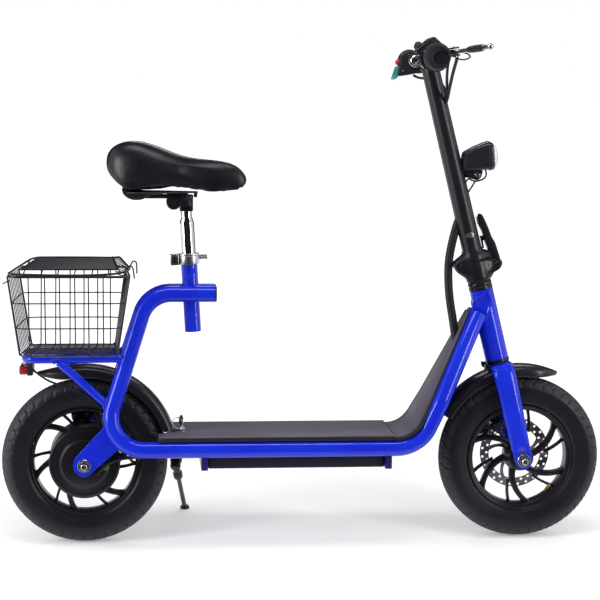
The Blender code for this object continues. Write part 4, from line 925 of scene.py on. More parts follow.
# The tray's top faces are marked to get the painted sheen.
mark(deck, "top", (local(deck, LEVEL)[:, 2] - 213.4) / 2.6)
shield_path = bends([(593, 0, DECK_LEVEL), (640.7, 0, DECK_LEVEL), (760, 0, 438.8)], (70,), 30)
last = np.linspace(0, 1, 26)[1:, None]
shield_path = np.vstack([np.linspace(shield_path[0], shield_path[1], 8)[:-1], shield_path[1:-1],
                         shield_path[-2] * (1 - last) + shield_path[-1] * last])
along = np.gradient(shield_path, axis=0)
along /= np.linalg.norm(along, axis=1, keepdims=True)
above = np.stack([-along[:, 2], 0 * along[:, 1], along[:, 0]], 1)
climb = np.maximum(shield_path[:, 2] - DECK_LEVEL, 0) / 248.8
reach = 87 - 76 * np.maximum(climb - 0.13, 0)
half = np.array([(-1, 16.4, 0), (-1, 20.6, 0), (-0.99, 22, 0), (-0.97, 22.8, 0.1),
                 (-0.93, 22.8, 0.2), (-0.9, 21.9, 0), (-0.88, 21.9, 0), (-0.84, 22.9, 1)])
across, height, face = np.vstack([half, half[::-1] * (-1, 1, 1)]).T
lower = 1 - 0.16 * np.clip(climb * 3, 0, 1)
grid = shield_path[:, None] + above[:, None] * height[None, :, None] * lower[:, None, None]
grid[..., 1] = reach[:, None] * across
shield = piece("shield_moulding", [skin(at(grid, LEVEL))], "frame", deck_skin.material,
               "front_shield", sharp=50)
# The shield's upward faces, given by the section's third column, are marked to get the painted
# sheen.
mark(shield, "top", np.repeat(face[None], len(grid), 0).ravel())
collar = lathe([(9, -3), (14, -3), (14, 1), (12.6, 3), (10, 4.6), (9, 4.6)],
               facing((722.4, 0, 380), (-0.9, 0, 0.43)), 36, closed=True)
piece("shield_grommet", [collar], "frame", grip_rubber)

# %% [markdown]
# ## Mudguards
# Each is a thin arched strip. Its section is a smooth arch with an outside and an inside,
# and the free tip narrows like the stern of a boat, so both the width and the height of
# the section are functions of the angle.

# %% Mudguards and the bracket at the crown


def mudguard(name, place, body, node, radius, half_width, start, end, tip, lift, flare):
    """Section points (r, z) carried round the axle; near the tip both shrink as a square."""
    angle = np.linspace(start, end, 90)
    away = np.abs(angle - tip) / 7 / 2.6
    narrow = np.maximum(1 - away, 0) ** 2
    wide, drop = half_width * (1 - 0.75 * narrow), 21 * (1 - 0.75 * narrow)
    top = radius + lift * np.sin(np.radians(angle)) + flare * narrow
    arch = curve([(-1, 1, 0), (-0.42, 0.93, 0), (-0.1, 0.62, 0), (0, 0, 0), (-0.1, -0.62, 0),
                  (-0.42, -0.93, 0), (-1, -1, 0)], 6)
    outer = np.stack([top[:, None] + drop[:, None] * arch[:, 0], wide[:, None] * arch[:, 1]], -1)
    inner = outer * (1, 0.96) - (2.2, 0)
    r, z = np.moveaxis(np.concatenate([outer, inner[:, ::-1]], 1), -1, 0)
    t = np.radians(angle)[:, None]
    rings = np.stack([r * np.cos(t), r * np.sin(t), z], -1)
    return piece(name, [skin(at(rings, place))], body, glossy, node, sharp=50)


mudguard("rear_mudguard", REAR, "frame", "rear_fender", 180, 32, 18.6, 117.5, 117.5, 7, 8)
crown = soften([(776, 344), (790, 341), (801, 330), (790, 326), (777, 334)], [3, 3, 2, 3, 3], 4)
piece("crown_bracket", [slab(crown, low, low + 10, LEVEL @ SIDE, 1) for low in (-24, 14)],
      "steering", satin)
mudguard("front_mudguard", FRONT, "steering", "front_fender", 181, 31, 66, 151, 66, 2.5, 0)

# %% [markdown]
# ## Fork and steering head
# The blades are ovals that flatten into plates at the axle. Their size and offset are
# smooth functions of the height, read between a few stations. The parts above are turned:
# two bearing cups, and the casting on which the stem folds.

# %% Fork


def between(heights, stations, column):
    """A column of the stations, interpolated at given heights."""
    table = np.array(stations, float)
    order = np.argsort(table[:, 0])
    return np.interp(heights, table[order, 0], table[order, column])


blade_rows = [(-161.5, 40, 19, 10), (-175, 47, 22, 12), (-200, 52, 21, 11), (-260, 53, 20, 10),
              (-318, 53.5, 18.5, 8.5), (-334, 54.5, 17.5, 3.6), (-351, 54.5, 16.5, 3.6)]
AXLE_Z, END_RADIUS = -351, 16.5
rounding = END_RADIUS * np.sin(np.radians([20, 40, 60, 75, 86]))
z = np.concatenate([np.linspace(-161.5, AXLE_Z, 44), AXLE_Z - rounding])[:, None]
past = np.minimum(z - AXLE_Z, 0) / END_RADIUS
wide = between(z, blade_rows, 2) * np.sqrt(np.maximum(1 - past ** 2, 0.001))
t = np.radians(np.arange(0, 360, 10))
power = 0.35 + 0.65 * np.clip((z + 334) / 16, 0, 1)
shapes = [lathe([(0, 40), (14, 40), (14, -166), (0, -166)], HEAD, 40),
          block((-21, -46, -167.2), (21, 46, -160.4), HEAD, 1.6, 5)]
for side in (-1, 1):
    x = 2.5 * (z + 160) / 190 + wide * keep_sign(np.cos(t), power)
    y = side * between(z, blade_rows, 1) + between(z, blade_rows, 3) * keep_sign(np.sin(t), power)
    shapes.append(skin(at(np.stack([x, y, z + 0 * x], -1), HEAD)))
piece("fork_legs", shapes, "steering", royal, "fork", sharp=40)
cups = [(14.4, 4.5), (21.4, 4.5), (22.4, 3.8), (23.4, 1.6), (23.4, -2), (22.6, -3), (22.6, -4.4),
        (23.4, -5.2), (23.4, -10.7), (17.2, -10.7), (17.2, -153.3), (23.4, -153.3), (23.6, -154),
        (23.6, -156.4), (22.7, -157.2), (22.7, -158), (23.4, -158.8), (23, -160), (14.4, -160)]
piece("headset_cups", [lathe(cups, HEAD, 72, closed=True)], "frame", cast, "headset")
print("triangles so far", COUNT["triangles"])

# %% [markdown]
# ## Folding joint, stem and quick-release lever
# The stem tips back on a pin and is held by a long lever in front. The casting between
# them is a bulb whose radius changes with both the angle and the height: round at the
# bearing, wide over the two lugs. One radius function makes it a single flowing skin.

# %% Folding joint


def bulb(rows, place, steps=96):
    """Rings r(t, z): a round core plus a rear lug and a front lug, each a cosine power."""
    t = np.linspace(0, 2 * np.pi, steps, endpoint=False)
    rings = []
    for z, core, rear, front in rows:
        r = core + rear * np.maximum(-np.cos(t), 0) ** 7 + front * np.maximum(np.cos(t), 0) ** 6
        rings.append(np.stack([r * np.cos(t), r * np.sin(t), z + 0 * t], 1))
    return skin(at(rings, place))


lower = [(5, 22, 0, 1), (5.6, 23, 0, 1.6), (9, 24, 0, 4), (14, 24.4, 0, 8), (19, 24.6, 3, 13),
         (25, 24.6, 9, 17), (31, 24.6, 14, 19), (37, 24.5, 17, 19), (42, 24.4, 18, 16),
         (44.6, 24, 17.6, 12), (45.8, 23, 17, 8), (46.1, 21, 15, 4)]
upper = [(46.5, 22, 17, 5), (46.9, 24, 18.2, 9), (48.5, 24.6, 18.6, 10), (52, 24.6, 18, 9.5),
         (56, 24, 14, 8), (60, 22.6, 7, 6), (63, 21.2, 2, 2.5), (66, 20.2, 0, 0)]
bolts = []
for side in (1, -1):
    for x, height, reach_y in ((-35, 46, 17.4), (42, 30, 15.4)):
        spot = HEAD @ shift(x, side * reach_y, height) @ turn("x", -90 * side)
        bolts += [washer(spot, 0.1, 6.2, -3, 0.6), screw(spot @ shift(0, 0, 0.5), 4.8, 3.2)]
rear_ear = soften([(-16, 18), (-16, 45.6), (-26, 50), (-30, 54), (-41, 53.6), (-43.4, 46),
                   (-38, 33)], [2, 1, 3, 6, 6, 5, 4], 5)
front_ear = soften([(18, 12), (44, 20), (51, 29), (50, 36), (43, 40), (18, 40)],
                   [1, 6, 6, 6, 5, 1], 5)
lugs = [slab(ear, low, high, HEAD_SIDE, edge)
        for ear, near, far, edge in ((rear_ear, 8.9, 17, 1.4), (front_ear, 9.9, 15, 1.2))
        for low, high in ((-far, -near), (near, far))]
piece("fold_casting", [bulb(lower, HEAD)] + lugs, "steering", cast, "fold_base", sharp=44)
piece("fold_bolts", bolts, "steering", satin)

# %% Latch lever
outline = soften([(34.5, 25), (42, 20.5), (50, 27), (49.5, 40), (46.7, 72), (42.4, 84),
                  (40.7, 99), (38.4, 112), (34.5, 129), (31, 134), (26, 130), (22.6, 118),
                  (22.8, 112), (26, 101), (26.7, 96), (27, 84), (28, 76), (30.5, 60), (34, 44)],
                 [4, 6, 6, 9, 5, 5, 5, 5, 4, 3, 3, 4, 3, 3, 3, 4, 4, 6, 6], 4)
grip_ribs = [slab(soften([(23.4, z), (22.2, z + 0.9), (22.2, z + 2), (23.4, z + 2.9)], 0.5, 2),
                  -8.2, 8.2, HEAD_SIDE, 0.4) for z in np.arange(113, 126, 4)]
catch = soften([(20.8, 91), (30, 88), (30, 80), (24.5, 81), (24, 66), (21, 66)],
               [1, 2, 2, 2, 1, 1], 4)
grip_ribs.append(slab(catch, -4, 4, HEAD_SIDE, 0.8))
piece("latch_handle", [slab(outline, -9, 9, HEAD_SIDE, 2.0)] + grip_ribs, "fold_latch", cast,
      "latch_lever", sharp=44)

# %% [markdown]
# The stem is a long tapered tube with a flared foot and a sleeve for the handlebar. Its
# satin coat shows two soft highlights along its length in the photograph, which come from
# the lamps, not from the paint. The small oval plate near its foot is left bare.

# %% Stem
tapered = [(0, 430), (15.6, 430), (16.8, 429), (17.1, 427), (17.2, 418), (19.4, 72), (20.2, 67),
           (20.2, 60), (0, 60)]
sleeve = tube([(0, y, 444) for y in (-25, -24.6, 24.6, 25)], 18, BAR, 48, edge=1.4)
hook = soften([(16, 46.8), (31, 46.8), (33.6, 50), (32.6, 56), (28.5, 62), (16, 63)],
              [1, 2, 3, 3, 4, 1], 4)
tongue = soften([(-16, 47), (-41, 43), (-42.4, 50), (-38, 55), (-16, 62)], [1, 6, 5, 4, 1], 5)
stem_shapes = [lathe(tapered, HEAD, 80), sleeve, bulb(upper, HEAD),
               slab(hook, -8.4, 8.4, HEAD_SIDE, 1.2), slab(tongue, -8, 8, HEAD_SIDE, 1.2)]
ring_seam = [(19.9, 64), (21.2, 64.8), (21.6, 66.4), (21, 68), (19.6, 68.6)]
stem_shapes.append(lathe(ring_seam, HEAD, 72, closed=True))
piece("stem_tube", stem_shapes, "stem", satin, "stem", sharp=42)
t = np.linspace(0, 2 * np.pi, 40, endpoint=False)
badge = []
for grow, lift in ((1.0, -0.2), (1.0, 0.25), (0.86, 0.45), (0.8, 0.3), (0.02, 0.3)):
    angle = math.radians(-92) + grow * np.cos(t) * 0.42
    radius = 19.2 + lift
    height = 98.4 + grow * 4.6 * np.sin(t)
    badge.append(np.stack([radius * np.cos(angle), radius * np.sin(angle), height], 1))
piece("stem_plate", [skin(at(badge, HEAD))], "stem", bare_alloy)
stud = facing((20.6, -2, 385), (1, -0.1, 0), base=HEAD)
sleeve_screw = facing((0, -17.6, 444), (0, -1, 0), base=BAR)
piece("stem_screws", [screw(stud, 3.2, 3.4), screw(sleeve_screw, 3, 1)], "stem", satin)

# %% [markdown]
# ## Handlebar, grips and display
# The grips swell towards an oval outer end. Their rings come from the same few stations as
# the solid, read as smooth functions, and fine ribs run round them. The display is a wedge
# on the bar with a dark glass face.

# %% Bar and grips
tip = 178 * math.sin(math.radians(SWEEP))
span = 100 + 178 * math.cos(math.radians(SWEEP))
corners = [(-tip, -span, 444), (0, -100, 444), (0, 100, 444), (-tip, span, 444)]
bar_path = bends(corners, (70, 70), 8)
piece("bar_tube", [tube(bar_path, 11.1, BAR, 40)], "stem", satin, "handlebar")
grip_rows = [(60.5, 22, 0), (61.5, 23.5, 0), (63.5, 23.5, 0), (65, 20, 0), (66.8, 17.2, 0),
             (75, 17, 0), (100, 17.6, 0.1), (120, 19.2, 0.4), (140, 21.5, 0.7), (154, 23.6, 0.93),
             (163, 24.5, 1), (170, 24.3, 1), (175, 22.4, 0.8), (178, 21.8, 0.75), (178.6, 19, 0.6)]
grip_end = [(0.96, 0.4, 0), (0.93, -0.6, 0.1), (0.91, -0.6, 0.1), (0.89, 0.4, 0.15),
            (0.86, 0.4, 0.2), (0.84, -0.6, 0.3), (0.82, -0.6, 0.35), (0.8, 0.4, 0.45),
            (0.77, 0.4, 0.55), (0.75, -0.6, 0.7), (0.73, -0.5, 0.8), (0.71, 0.4, 0.9),
            (0.68, 0.2, 1), (0.66, -2, 1), (0.6, -3.6, 1), (0.4, -4.4, 1), (0.02, -4.6, 1)]
RIBBED, RIB_PITCH = (72, 158), 2.6


def grip(name, side, body, node):
    """Radius and offset are read from the stations; ribs |sin(pi z / pitch)| run round.

    The ridged end is a list of smaller copies of the last ring: size, rise and pull.
    """
    up = -side
    first, last = RIBBED
    z = np.concatenate([np.arange(60.5, first, 0.5), np.arange(first, last, 0.325),
                        np.arange(last, 178.7, 0.5)])[:, None]
    swell = between(z, grip_rows, 2)
    ribbed = np.clip((z - first) / 4, 0, 1) * np.clip((last - z) / 4, 0, 1)
    t = np.linspace(0, 2 * np.pi, 56, endpoint=False)
    rib = 0.42 * (np.abs(np.sin(z * math.pi / RIB_PITCH)) - 0.5) * ribbed
    palm = 1 - 0.35 * np.maximum(np.sin(2 * t), 0) ** 2
    r = between(z, grip_rows, 1) + rib * palm
    rings = np.stack([r * np.cos(t) - 6 * swell, r * np.sin(t) + up * 5 * swell, z + 0 * r], -1)
    middle = rings[-1].mean(0)
    edge = (rings[-1] - middle) * (1, 1, 0)
    closing = [middle + edge * (size, size * (1 - 0.12 * pull), 0)
               + np.array([3.4 * pull, up * -1.6 * pull, rise]) for size, rise, pull in grip_end]
    rings = np.concatenate([rings, np.stack(closing)])
    return piece(name, [skin(at(rings, BARS[side]))], body, grip_rubber, node, sharp=60)


grip("grip_sleeve_right", -1, "throttle", "grip_right")
grip("grip_sleeve_left", 1, "stem", "grip_left")
ring = [(11.4, 30), (17.4, 30), (18.6, 30.8), (20, 33.6), (20, 43), (19.4, 43.5), (19.4, 44.5),
        (20, 45), (20, 56), (19, 58.4), (18, 59), (11.4, 59)]
piece("throttle_case", [lathe(ring, BAR_RIGHT, 64, closed=True)], "stem", plastic,
      "throttle_housing", sharp=35)

# %% Display
shell = soften([(-24, 465), (-19, 469), (13, 485.6), (19, 484.6), (36.6, 458.3), (26, 452),
                (14, 463.2), (-19, 463.5)], [2, 1, 3, 3, 3, 4, 4, 1], 4)
piece("display_case", [slab(shell, -33, 33, BAR @ SIDE, 3.0)], "stem", plastic,
      "display_unit", sharp=40)
low, high = np.array([(-17.5, 470.1), (11.5, 484.9)])
(x, z), (run, rise) = (low + high) / 2, high - low
glass = facing((x, 0, z), (-rise, 0, run), (0, 1, 0), BAR)
pane = soften([(-13.6, -29), (13.6, -29), (13.6, 29), (-13.6, 29)], 4, 5)
piece("display_glass", [slab(pane, -0.4, 0.7, glass, 0.4)], "stem", screen)
print("triangles so far", COUNT["triangles"])

# %% [markdown]
# ## Brake levers, switches and the control pod
# A lever is cut from plate, so it is an outline with rounded faces; a soft sleeve is carried
# along its middle line and a ball closes it. Each perch is a clamp ring with two cheeks. The
# pod on the far half of the bar carries a red button, a teal lens, a knob and a ring.

# %% Levers and perches


def lever_plane(side):
    """The plane of a lever: 5 degrees below the bar's own plane, 8 mm towards the top."""
    base = BARS[side] @ turn("z", 5.0 * side)
    return base, base @ shift(0, -side * 8, 0) @ SIDE


blade = soften([(31, 15), (41, 12.6), (50, 17), (66, 50), (77, 84), (89, 124), (92, 138), (87, 142),
                (82, 132), (80, 126), (67, 86), (56, 55), (45, 34), (38, 30), (31, 28)],
               [5, 6, 9, 12, 12, 9, 3, 3, 6, 9, 12, 12, 6, 4, 4], 5)
BALL = 5.9
perch = soften([(12, 14), (30, 11.5), (44, 13.5), (48.5, 22), (44.5, 30.5), (36, 32), (12, 28)],
               [2, 5, 6, 5, 5, 5, 2], 5)
for side, name in ((-1, "right"), (1, "left")):
    base, plane = lever_plane(side)
    pin = plane @ shift(38, 22, 0)
    middle = curve([(60, 50, 0), (69, 78, 0), (77, 103, 0), (82, 120, 0)], 10)
    swell = 7.8 - 2.4 * np.linspace(-1, 1, len(middle)) ** 4
    oval = np.diag([1, 1, 0.86, 1.0])
    ball = [(0, -8), (3.2, -8)] + [(BALL * math.sin(a), -BALL * math.cos(a))
                                   for a in np.linspace(0.6, math.pi, 14)]
    ball_place = facing((91.5, 147, 0), (0.24, 0.97, 0), (0, 0, 1), plane)
    piece("lever_blade_" + name, [slab(blade, -4.2, 4.2, plane, 1.6), lathe(ball, ball_place, 32)],
          "brake_lever_" + name, bare_alloy, "brake_lever_" + name, sharp=40)
    piece("lever_sleeve_" + name, [tube(middle, swell, plane @ oval, 28, edge=1.6)],
          "brake_lever_" + name, grip_rubber)
    clamp = [(11.4, 13), (16, 13), (17, 14), (17, 20), (16.5, 20.3), (16.5, 20.7), (17, 21),
             (17, 27), (16, 28), (11.4, 28)]
    adjuster = [(0, 14), (3.2, 14), (4.2, 13), (4.6, 8), (3.6, 7), (3.6, 4), (4.6, 3), (4.6, -5),
                (0, -5)]
    shapes = [lathe(clamp, base, 48, closed=True), slab(perch, 5.5, 8.5, plane, 0.8),
              slab(perch, -8.5, -5.5, plane, 0.8),
              block((17, 13.5, -8), (25.5, 28.5, 8), plane, 1, 2),
              lathe(adjuster, facing((31, 34, 0), (0.1, -1, 0), (0, 0, 1), plane), 24)]
    piece("lever_perch_" + name, shapes, "stem", cast, "lever_mount_" + name, sharp=40)
    clamp_screw = facing((-2, side * 16.2, 20.5), (0, side, 0), (0, 0, 1), base)
    pins = [screw(pin @ shift(0, 0, 8.4), 4.2, 1.8),
            screw(pin @ shift(0, 0, -8.4) @ FLIP, 4.2, 1.8), screw(clamp_screw, 3, 2.2)]
    piece("lever_pins_" + name, pins, "stem", zinc)

# %% Control pod
face_a, face_b = np.array((-36.0, -21.5)), np.array((-53.0, 16.0))
pod = soften([face_a, face_b, (-48, 18.5), (-27, 20.4), (5, 21.5), (14, 10), (16, -8), (8, -21),
              (-10, -25.5), (-28, -25)], [3, 3, 4, 9, 7, 6, 6, 7, 9, 5], 6)
spot = face_a + 0.35 * (face_b - face_a)
slope = (*(face_b - face_a) / np.linalg.norm(face_b - face_a), 0)
axes = along_axes((0, 0, 1), slope, np.cross((0, 0, 1), slope))
BUTTON = BAR_LEFT @ shift(*spot, 44) @ axes
bezel = [(5.7, -1), (8.6, -1), (9, 0.4), (8.2, 1.8), (6.6, 2), (5.7, 1.2)]
shapes = [slab(pod, 30, 58, BAR_LEFT, 2.6), lathe(bezel, BUTTON, 40, closed=True)]
shapes.append(ring_tube(16.6, 11.4, 26, 30.5, BAR_LEFT, 48, 1))
piece("pod_case", shapes, "stem", plastic, "control_pod", sharp=40)
cap = [(0, 7.6), (2.6, 7.4), (4.4, 6.8), (5.2, 5.8), (5.5, 4.4), (5.5, -3.8), (0, -3.8)]
red = speckled("red_button", "red_plastic", (0.62, 0.012, 0.03), (0.5, 0.01, 0.02),
               0.25, 0.1, 500, 0.00004, coat=0.4, blotch=60)
piece("button_cap", [lathe(cap, BUTTON, 36)], "power_button", red.material, "power_button")
wedge = soften([(-43.5, 0), (-50, 17), (-55, 21.5), (-63, 22.5), (-64, 19.5), (-50.5, -2.5)],
               [2, 3, 2, 2, 2, 2], 4)
piece("pod_lens", [slab(wedge, 33, 55, BAR_LEFT, 1.4)], "stem", teal)
knob = [(0, 9), (5.6, 9), (7.4, 8), (8.2, 6), (8.2, -2), (7, -4.4), (5, -5), (5, -12), (0, -12)]
knob_foot = curve([(656.4, 118, 958), (658, 122, 950), (661, 124, 941)], 8)
piece("pod_knob", [lathe(knob, facing((656.4, 112, 961.2), (0, -0.93, 0.36)), 36),
                   tube(knob_foot, 5, sides=20)], "stem", plastic)
disc_face = [(0, 1.4), (4.6, 1.6), (5.8, 3.4), (8, 3.6), (9.6, 2.4), (10, 0), (0, 0)]
outer_ring = [(10.6, 0), (11.4, 1.4), (12.6, 1.6), (13.4, 0.4), (13.4, 0)]
near_face = facing((649.5, 99.4, 933.5), (0, -1, 0))
piece("pod_ring", [lathe(disc_face, near_face, 40), lathe(outer_ring, near_face, 40, closed=True)],
      "stem", zinc)
piece("pod_screws", [screw(BAR_LEFT @ shift(x, y, 30.2) @ FLIP, 2.4, 1)
                     for x, y in ((-42, 9), (-24, -19), (8, -15), (2, 15))], "stem", zinc)

# %% [markdown]
# ## Lights
# The headlight is a boxy shell that widens towards the lens, so its rings change from a
# small round back to a squarish front. Real lenses are clear plastic over a reflector. Here
# the reflector's bright reflection is painted in: a pale, glossy skin with moulded ribs gives
# the same look from every side and exports safely.

# %% Headlight, lens, bracket and its loose wires
LAMP = LEVEL @ shift(727.8, 0, 747) @ turn("y", 93)
clear = Finish("lamp_lens", "clear_lens", base_color=(0.78, 0.8, 0.86), roughness=0.1,
               coat_weight=0.6)
# Painted reflection: the pale colours, in soft patches, stand in for the reflector behind clear
# plastic.
glow = clear.noise(40, 2.0).soft(0.35, 0.7)
clear.feed(base_color=clear.mix(glow, (0.62, 0.64, 0.72), (0.86, 0.87, 0.92)))
clear.bump(clear.ridges("Y", 900), 0.0004, 0.6)


def squarish(rows, place, tilt=0.12):
    """Superellipses |x/a|^n + |y/b|^n = 1, each moved down and sheared by its depth."""
    shape = circle(1, 64)
    rings = []
    for z, tall, down, n, wide in rows:
        flat = keep_sign(shape, 2 / n) * (tall, wide)
        lean = tilt * z / 60 * flat[:, 0]
        rings.append(np.c_[flat[:, 0] + down, flat[:, 1], z + lean])
    return skin(at(rings, place))


shell_rows = [(0, 9, 9.4, 2.6, 8), (0.4, 14.5, 9.4, 3, 12), (2, 17.4, 9.2, 3.6, 16),
              (4.5, 19, 8.7, 4.4, 19), (23, 23.4, 2.6, 5, 23), (44, 26.8, -3.4, 4.6, 26.6),
              (48.6, 27.3, -4.1, 4.2, 27.3), (49.4, 28.3, -4.2, 4, 28.3),
              (52.8, 28.5, -4.1, 4, 28.5), (53.8, 27.2, -4, 4, 27.4), (57, 26.7, -3.9, 3.8, 27),
              (58.6, 26, -3.8, 3.6, 26.3), (59.2, 25, -3.8, 3.6, 25.3),
              (58.6, 23.9, -3.8, 3.5, 24.2), (55, 23.7, -3.8, 3.5, 24)]
piece("headlight_shell", [squarish(shell_rows, LAMP)], "stem", glossy, "headlight", sharp=36)
lens_rows = [(54.5, 23.2, -3.8, 3.4, 23.5), (60, 23.4, -3.8, 3.4, 23.7),
             (63, 22.4, -3.8, 3.2, 22.6), (65.6, 20, -3.6, 3, 20), (67.4, 15.5, -3.4, 2.6, 15.5),
             (68.3, 9, -3.2, 2.3, 9), (68.6, 4, -3, 2, 4), (68.7, 0.1, -3, 2, 0.1)]
piece("headlight_glass", [squarish(lens_rows, LAMP)], "stem", clear.material, "headlight_lens",
      sharp=60)
arm = soften([(735, 707), (741, 720.5), (768.5, 720.5), (765, 706), (757, 700.5), (748, 704)],
             [1, 3, 2, 5, 6, 5], 5)
bolt_side = facing((757.4, -8.4, 711.4), (0, -1, 0))
cheeks = [slab(arm, low, low + 2.4, LEVEL @ SIDE, 0.5) for low in (-8, 5.6)]
piece("headlight_bracket", cheeks + [block((733, -8, 706), (741, 8, 719), corner=2)], "stem", satin)
piece("headlight_bolt", [washer(bolt_side, 0.1, 5.6, -0.4, 1), nut(bolt_side, 8, 0.9, 4.2),
                         screw(facing((757.4, 8.2, 711.4), (0, 1, 0)), 4.6, 3)], "stem", zinc)
ways = [[(771.7, -9, 724), (774.3, -9.5, 713.4), (771.1, -10, 705.7), (762.3, -10, 701.2),
         (750.6, -10.5, 699.8), (739.7, -11, 704), (734.9, -11.5, 698.8), (731.5, -12, 695)],
        [(753.5, -12.5, 701), (746.8, -11.5, 690.1), (741.1, -9, 680.4), (737, -6, 672)]]
piece("headlight_wires", [tube(curve(way, 8), 1.7, sides=12) for way in ways], "stem",
      cable_skin)

# %% Tail light
tail = speckled("tail_lens_plastic", "red_plastic", (0.36, 0.008, 0.02), (0.2, 0.006, 0.014),
                0.16, 0.08, 300, 0.00003, coat=0.8, blotch=50)
tail.bump(tail.ridges("Z", 1500), 0.0006, 0.7)
piece("tail_light_glass", [block((-123, -31, 329), (-108, 31, 345.5), LEVEL, 3.5, 4)], "frame",
      tail.material, "tail_light_lens", sharp=50)
piece("tail_light_body", [block((-108.2, -32, 327.5), (-97, 32, 347), LEVEL, 1.6, 2.5),
                          block((-103, -9, 343), (-99.5, 9, 354), LEVEL, 0.6, 1.5)],
      "frame", plastic, "tail_light_housing", sharp=40)

# %% [markdown]
# ## Brake calipers
# A mechanical caliper is a small casting astride the disc. Its arm pulls on a thin cable
# that runs through a barrel adjuster, and a spring coiled round the cable opens it again.

# %% Calipers, arms, adjusters and springs


def spring(start, end, radius, wire, turns, place):
    """A helix: start + s (end - start) + radius (cos 2 pi n s, sin 2 pi n s)."""
    s = np.linspace(0, 1, int(turns * 14) + 1)
    d = np.array(end, float) - np.array(start, float)
    w = d / np.linalg.norm(d)
    u = np.cross(w, (0.31, 0.5, 0.8))
    u /= np.linalg.norm(u)
    v = np.cross(w, u)
    angle = 2 * np.pi * turns * s[:, None]
    path = np.array(start) + s[:, None] * d + radius * (np.cos(angle) * u + np.sin(angle) * v)
    return tube(path, wire, place, 7, edge=0.2)


for name, body, pull, base, angle, level, low, high in (
        ("front", "steering", "front_brake_arm", FRONT, 141, FRONT_DISC, -42.6, -27),
        ("rear", "frame", "rear_brake_arm", REAR, 97, REAR_DISC, -56, -41.2)):
    place = base @ turn("z", angle)
    shapes = [block((72, -18, low), (90, 18, high), place, 2.2, 4),
              block((58, -17, low), (73.5, 17, level - 2), place, 1.4, 5),
              block((58, -17, level + 2), (73.5, 17, high), place, 1.4, 5),
              block((76, -34, low), (112, -15, low + 6), place, 1.2, 6)]
    if name == "front":
        shapes.append(block((60, -33, low), (78, -15, low + 5.6), place, 1, 3))
    else:
        shapes.append(block((60, -15, -59.7), (73, -4, low + 1), place, 0.8, 2))
    piece(name + "_caliper_body", shapes, body, cast, name + "_caliper", sharp=40)
    outline = soften([(73, 5), (80, 2.5), (110, 11), (117, 13), (117, 19), (108, 20.5),
                      (84, 17.5), (74, 16)], [4, 4, 6, 3, 3, 5, 6, 4], 4)
    piece(name + "_caliper_arm", [slab(outline, low - 3.5, low - 0.4, place, 0.7)], pull, satin,
          name + "_brake_arm")
    wire_z = low - 1.6
    small = [screw(place @ shift(80, y, high - 0.2), 3.8, 2) for y in (-12, 12)]
    small += [screw(place @ shift(66, 0, high - 0.2), 5.4, 1.4, 0.6),
              screw(place @ shift(80, 10, low - 3.4) @ FLIP, 5, 2.4),
              spring((110, -19, wire_z), (110.7, -2, wire_z), 2.7, 0.55, 6, place),
              lathe([(0, -9), (3.4, -9), (4.2, -8), (4.2, -2), (3.2, -1.6), (3.2, 6), (0, 6)],
                    facing((110, -26, wire_z), (0, 1, 0), base=place), 20),
              tube([(110, -22, wire_z), (111.5, 17, wire_z)], 0.9, place, 8)]
    piece(name + "_caliper_fittings", small, body, zinc)
print("triangles so far", COUNT["triangles"])

# %% [markdown]
# ## Seat post, collar and saddle hardware
# The post is chromed and necks down near its top. An alloy collar with a slit grips it when
# the cam lever is closed. Under the cushion a clamp with two serrated discs holds a pair of
# steel rails that spring out of a moulded base.

# %% Post, collar and cam lever
post = [(0, 118), (10.2, 118), (10.5, 117.5), (10.5, 88), (10.8, 85.5), (13.5, 77.5), (13.9, 75),
        (13.9, -110), (0, -110)]
piece("seat_post_tube", [lathe(post, SEAT, 72)], "seat", chrome, "seatpost", sharp=50)
shapes = [slab(letter_c(20.4, 16.3, 186, 534, 72), -4, 12.6, SEAT, 0.8),
          slab(letter_c(20.4, 14.5, 186, 534, 72), 12.5, 17, SEAT, 0.9)]
for low, high in ((-12, -1.6), (1.6, 12)):
    shapes.append(block((-36, low, -4), (-18.6, high, 17), SEAT, 1.2, 3))
piece("collar_ring", shapes, "frame", bare_alloy, "seat_collar", sharp=36)
nut_place = facing((-28, -12, 6.5), (0, -1, 0), base=SEAT)
piece("collar_bolt", [washer(nut_place, 0.1, 5.6, -0.2, 1), nut(nut_place, 8, 0.9, 5.2),
                      tube([(-28, -13, 6.5), (-28, 14, 6.5)], 2.6, SEAT, 16)],
      "frame", satin)
arm = soften([(-30.5, 13), (-21, 14), (-14, 21), (4, 26.4), (28, 25.4), (34, 21), (38, 23.5),
              (35, 29.5), (6, 32), (-16, 28.5), (-30.5, 24.8), (-34.6, 19)],
             [5, 4, 6, 8, 5, 3, 3, 5, 8, 8, 5, 5], 5)
piece("cam_lever", [slab(arm, 2, 11, SEAT, 2.4)], "seat_lever", bare_alloy, "seat_lever", sharp=46)

